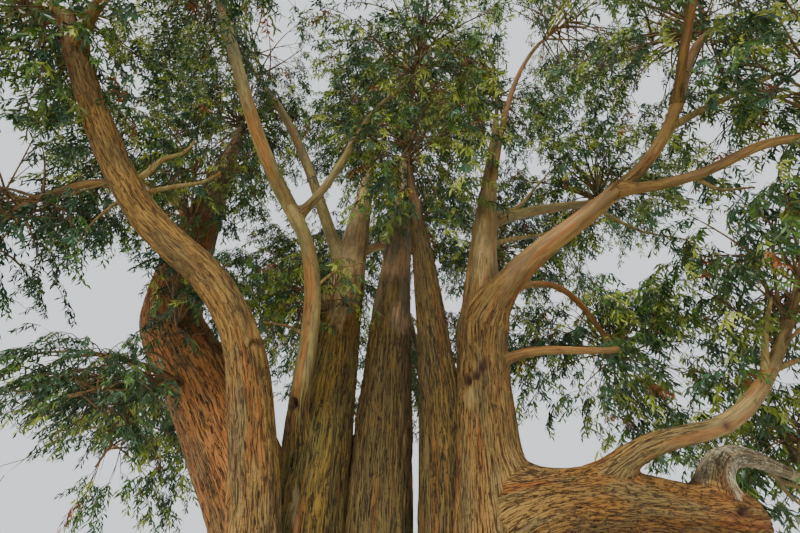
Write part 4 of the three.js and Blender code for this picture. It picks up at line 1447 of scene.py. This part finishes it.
# %% Deal out the colours
LEAF_COLOURS = {
    "deep_green": colour(46, 77, 36),
    "mid_green": colour(88, 126, 48),
    "olive": colour(122, 138, 52),
    "blue_green": colour(76, 116, 80),
    "yellow_green": colour(168, 186, 64),
    "lime": colour(204, 216, 96),
    "rust": colour(158, 92, 44),
}
SHADE_SHARES = np.array((0.24, 0.25, 0.2, 0.16, 0.09, 0.04, 0.02))
DIM_SHARES = np.array((0.64, 0.16, 0.03, 0.15, 0.01, 0.0, 0.01))
DIM_MASSES = ("leaves_hanging_front", "leaves_hanging_left", "leaves_stem_tuft")  # in the crown's shade
LIT_MASSES = ("leaves_slim", "leaves_mid_tuft", "leaves_right")  # in the light at the crown's middle
LIT_MORE = 0.35
SUN_WITHIN = 0.35
SUN_ABOVE = 0.45
SUN_OUTSIDE = 0.35
SUN_MOTTLE = 0.5
DIM_SUN = 0.4
LEAF_SHADE = 0.62  # the darker mottle of a leaf, as a share of its colour
LEAF_ROUGHNESS = 0.42
SUN_SHARES = np.array((0.08, 0.18, 0.2, 0.13, 0.26, 0.13, 0.02))


def leaf_finish(name, base):
    finish = Finish(name)
    place = finish.add("ShaderNodeTexCoord", {}, output="Object")
    mottle = finish.ramp(finish.noise(place, 7.0), 0.35, 0.7)
    darker = tuple(part * LEAF_SHADE for part in base[:3]) + (1.0,)
    return finish.finish(finish.mixed(mottle, darker, base), LEAF_ROUGHNESS)


def dealt_colours(mass, places, random):
    """A colour for each spray, lighter towards the top and the outside of its mass."""
    local = (places - mass.middle) / mass.half
    sun = SUN_WITHIN + SUN_ABOVE * local[:, 2] + SUN_OUTSIDE * (local @ mass.outward)
    mottle = SUN_MOTTLE * noise(places * 1.1, 81)
    sun = np.clip(np.clip(sun, 0, 1) + mottle + LIT_MORE * (mass.name in LIT_MASSES), 0, 1)
    shares = SHADE_SHARES + (SUN_SHARES - SHADE_SHARES) * sun[:, None]
    if mass.name in DIM_MASSES:
        shares = DIM_SHARES + (SHADE_SHARES - DIM_SHARES) * sun[:, None] * DIM_SUN
    return (random.uniform(size=(len(places), 1)) > np.cumsum(shares, axis=1)).sum(axis=1)


print("leaf colours:", ", ".join(LEAF_COLOURS))

# %% Set the sprays in their places
LEAF_FACES = np.array([[0, 2, 1], [1, 2, 3]])
SPRAY_SIZES = (0.8, 1.25)
SPRAY_TILT = 0.22
LEAF_MARGIN = 0.02

leaf_sets = {name: [] for name in LEAF_COLOURS}
shoots = []

for mass, (_, places, heading, random) in zip(masses, grown):
    kinds = random.integers(SPRAY_KINDS, size=len(places))
    sizes = random.uniform(*SPRAY_SIZES, len(places)) * mass.leaf_size
    tilt = random.normal(scale=SPRAY_TILT, size=len(places))
    colours = np.minimum(dealt_colours(mass, places, random), len(LEAF_COLOURS) - 1)
    turned = np.zeros((len(places), 3, 3))
    cosine, sine = np.cos(heading), np.sin(heading)
    lean, rise = np.cos(tilt), np.sin(tilt)
    turned[:, 0] = np.stack([cosine * lean, -sine, -cosine * rise], axis=1)
    turned[:, 1] = np.stack([sine * lean, cosine, -sine * rise], axis=1)
    turned[:, 2] = np.stack([rise, 0 * rise, lean], axis=1)
    for kind, (line, leaves) in enumerate(SPRAYS):
        chosen = kinds == kind
        matrix = turned[chosen] * sizes[chosen, None, None]
        shoots.append(np.einsum("nij,pj->npi", matrix, line) + places[chosen, None])
        set_out = np.einsum("nij,lpj->nlpi", matrix, leaves) + places[chosen, None, None]
        for number, name in enumerate(LEAF_COLOURS):
            leaf_sets[name].append(set_out[colours[chosen] == number].reshape(-1, 4, 3))

for name, base in LEAF_COLOURS.items():
    leaves = np.concatenate(leaf_sets[name])
    inside = ((leaves > cad_low + LEAF_MARGIN) & (leaves < cad_high - LEAF_MARGIN)).all(axis=(1, 2))
    leaves = leaves[inside]
    offsets = np.arange(len(leaves))[:, None, None] * len(LEAF_SHARES)
    faces = (LEAF_FACES + offsets).reshape(-1, 3)
    material = leaf_finish(name + "_leaf", base)
    piece = mesh_piece("leaves_" + name, leaves.reshape(-1, 3), [faces], material)
    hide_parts(*(mass.name for mass in masses))
    print("leaves_" + name, len(leaves), "leaves,", 2 * len(leaves), "triangles")

# %% [markdown]
# ## Stems of the masses
# The stem of each mass carries its limb on through the middle of the mass, in the limb's own bark,
# and bears the side twigs.

# %% Carry the limbs on through their masses
STEM_GRAIN_APART = 3.1
STEM_RIDGE = 0.8


def stem_grain(mass, line, seed):
    """Grain of a mass's stem, so that its limb's bark runs on over it."""
    angle = np.arange(STEM_SIDES) * 2 * math.pi / STEM_SIDES
    turn = np.stack([np.cos(angle), np.sin(angle), 0 * angle], axis=1) * mass.thick
    along = np.array((0, 0, 1)) * distances(line)[:, None, None]
    return (turn[None] + along).reshape(-1, 3) + seed * STEM_GRAIN_APART


kinds = list(BARKS)
stem_parts = [tubes(*twigs[0]) for twigs, _, _, _ in grown]
stem_grains = [
    stem_grain(mass, twigs[0][0][0], seed)
    for seed, (mass, (twigs, _, _, _)) in enumerate(zip(masses, grown))
]
points, face_sets = joined(stem_parts)
mass_stems = mesh_piece("mass_stems", points, face_sets, *(finish_of(bark, bark) for bark in BARKS))
bark_numbers = [
    np.full(len(faces), kinds.index(mass.bark))
    for mass, (_, some_faces) in zip(masses, stem_parts)
    for faces in some_faces
]
mass_stems.data.polygons.foreach_set("material_index", np.concatenate(bark_numbers))
keep_bark(
    mass_stems.data, np.concatenate(stem_grains), ridge=STEM_RIDGE, shed=1.0, kin=0.0, dark=0.0
)
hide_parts(*(mass.name for mass in masses))
print("mass stems:", len(stem_parts), "faces:", len(mass_stems.data.polygons))

# %% [markdown]
# ## Slim limbs
# A few slim bare limbs show in the picture. Each sets out from the middle of a limb, passes the
# places where it is seen and ends somewhat deeper in the crown, or nearer to the eye.

# %% Slim bare limbs
SLIM_LIMBS = [  # limb, thick, thin, how much deeper its end is, and the px, py that it passes
    ("bough_near_left", 0.1, 0.04, 0.9, (148, 186), (176, 186), (204, 183), (222, 172)),
    ("bough_near_left", 0.13, 0.03, 0.7, (138, 178), (151, 172), (160, 158), (187, 154), (196, 138)),
    ("bough_near_left", 0.06, 0.02, -0.2, (112, 202), (94, 220), (72, 250)),
    ("bough_near_left", 0.05, 0.02, 0.3, (106, 187), (66, 196), (24, 212)),
    ("bough_right_upper", 0.15, 0.05, 0.0, (668, 131), (689, 116), (731, 96), (772, 76), (790, 69)),
    ("bough_right_level", 0.07, 0.03, 0.2, (692, 177), (719, 191), (756, 187)),
    ("bough_right", 0.07, 0.02, 1.4, (600, 214), (640, 232), (690, 240)),
    ("stem_right", 0.12, 0.03, 1.6, (490, 218), (519, 209), (532, 191), (552, 170)),
    ("stem_right", 0.13, 0.04, 1.6, (492, 247), (516, 238), (540, 236), (578, 222)),
    ("bough_pale", 0.07, 0.02, 0.5, (308, 338), (290, 326), (262, 322)),
    ("bough_pale", 0.06, 0.02, 0.6, (314, 290), (338, 268), (366, 262)),
    ("bough_low_upper", 0.12, 0.04, 0.4, (772, 384), (765, 358), (765, 330), (772, 296)),
    ("bough_low_upper", 0.1, 0.04, 0.2, (780, 372), (798, 360), (820, 356)),
    ("bough_low_end", 0.11, 0.05, 0.3, (757, 465), (780, 481), (806, 489)),
    ("bough_low_end", 0.08, 0.03, 0.6, (770, 470), (785, 492), (804, 508)),
]
SLIM_STEPS = 26
SLIM_ROUNDS = 12  # how often the line is smoothed
SLIM_SIDES = 9
SLIM_GRAIN = np.array((1.0, 1.0, 0.3))
SLIM_RIDGE = 0.8
SLIM_SHED = 0.8


def slim_line(on, deeper, *seen):
    """A line that sets out from a limb and passes places seen in the picture."""
    line = limbs[on].line
    px, py, depth = seen_at(line)
    nearest = np.argmin((px - seen[0][0]) ** 2 + (py - seen[0][1]) ** 2)
    depths = depth[nearest] + deeper * np.linspace(0, 1, len(seen))
    points = [line[nearest]]
    for (wanted_px, wanted_py), far in list(zip(seen, depths))[1:]:
        aside, above = (wanted_px - MIDDLE_PX) / FOCUS, (MIDDLE_PY - wanted_py) / FOCUS
        points.append(np.array(EYE) + far * (FORWARD + (aside, 0, 0) + above * UPWARD))
    points = np.array(points)
    points = places_at(points, np.linspace(0, distances(points)[-1], SLIM_STEPS))
    for _ in range(SLIM_ROUNDS):
        points[1:-1] = (points[:-2] + 2 * points[1:-1] + points[2:]) / 4
    return points


slim_lines = np.array([slim_line(on, deeper, *seen) for on, _, _, deeper, *seen in SLIM_LIMBS])
slim_radii = np.array([np.linspace(thick, thin, SLIM_STEPS) / 2 for _, thick, thin, *_ in SLIM_LIMBS])
points, face_sets = tubes(slim_lines, slim_radii, SLIM_SIDES, pointed=True)
slim_limbs = mesh_piece("slim_limbs", points, face_sets, finish_of("pale", "pale"))
keep_bark(slim_limbs.data, points * SLIM_GRAIN, ridge=SLIM_RIDGE, shed=SLIM_SHED, kin=0.0, dark=0.0)
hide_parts(*(mass.name for mass in masses))
print("slim limbs:", len(SLIM_LIMBS))

# %% [markdown]
# ## The finer twigs
# Side twigs, branchlets and the shoots of the sprays become three pieces, each of many closed
# tubes that run out to a point.

# %% Make the twigs
SHOOT_RADII = np.array((0.005, 0.004, 0.001))
SHOOT_SIDES = 3
TWIG_ROUGHNESS = 0.7

side_parts = [tubes(*twigs[1], pointed=True) for twigs, _, _, _ in grown]
fine_parts = [tubes(*twigs[2], pointed=True) for twigs, _, _, _ in grown]
shoot_lines = np.concatenate(shoots)
shoot_radii = SHOOT_RADII[None] * np.ones((len(shoot_lines), 1))
shoot_parts = [tubes(shoot_lines, shoot_radii, SHOOT_SIDES, pointed=True)]


def twig_colour(name, base, other):
    finish = Finish(name)
    place = finish.add("ShaderNodeTexCoord", {}, output="Object")
    mottle = finish.ramp(finish.noise(place, 3.0), 0.4, 0.6)
    return finish.finish(finish.mixed(mottle, base, other), TWIG_ROUGHNESS)


TWIG_PIECES = {
    "side_twigs": (side_parts, twig_colour("twig_bark", colour(140, 112, 68), colour(98, 76, 46))),
    "branchlets": (fine_parts, twig_colour("branchlet_bark", colour(112, 84, 50), colour(84, 62, 38))),
    "shoots": (shoot_parts, twig_colour("shoot_bark", colour(118, 90, 56), colour(104, 100, 54))),
}
for name, (parts, material) in TWIG_PIECES.items():
    points, face_sets = joined(parts)
    piece = mesh_piece(name, points, face_sets, material)
    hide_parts(*(mass.name for mass in masses))
    print(name, "faces:", len(piece.data.polygons))
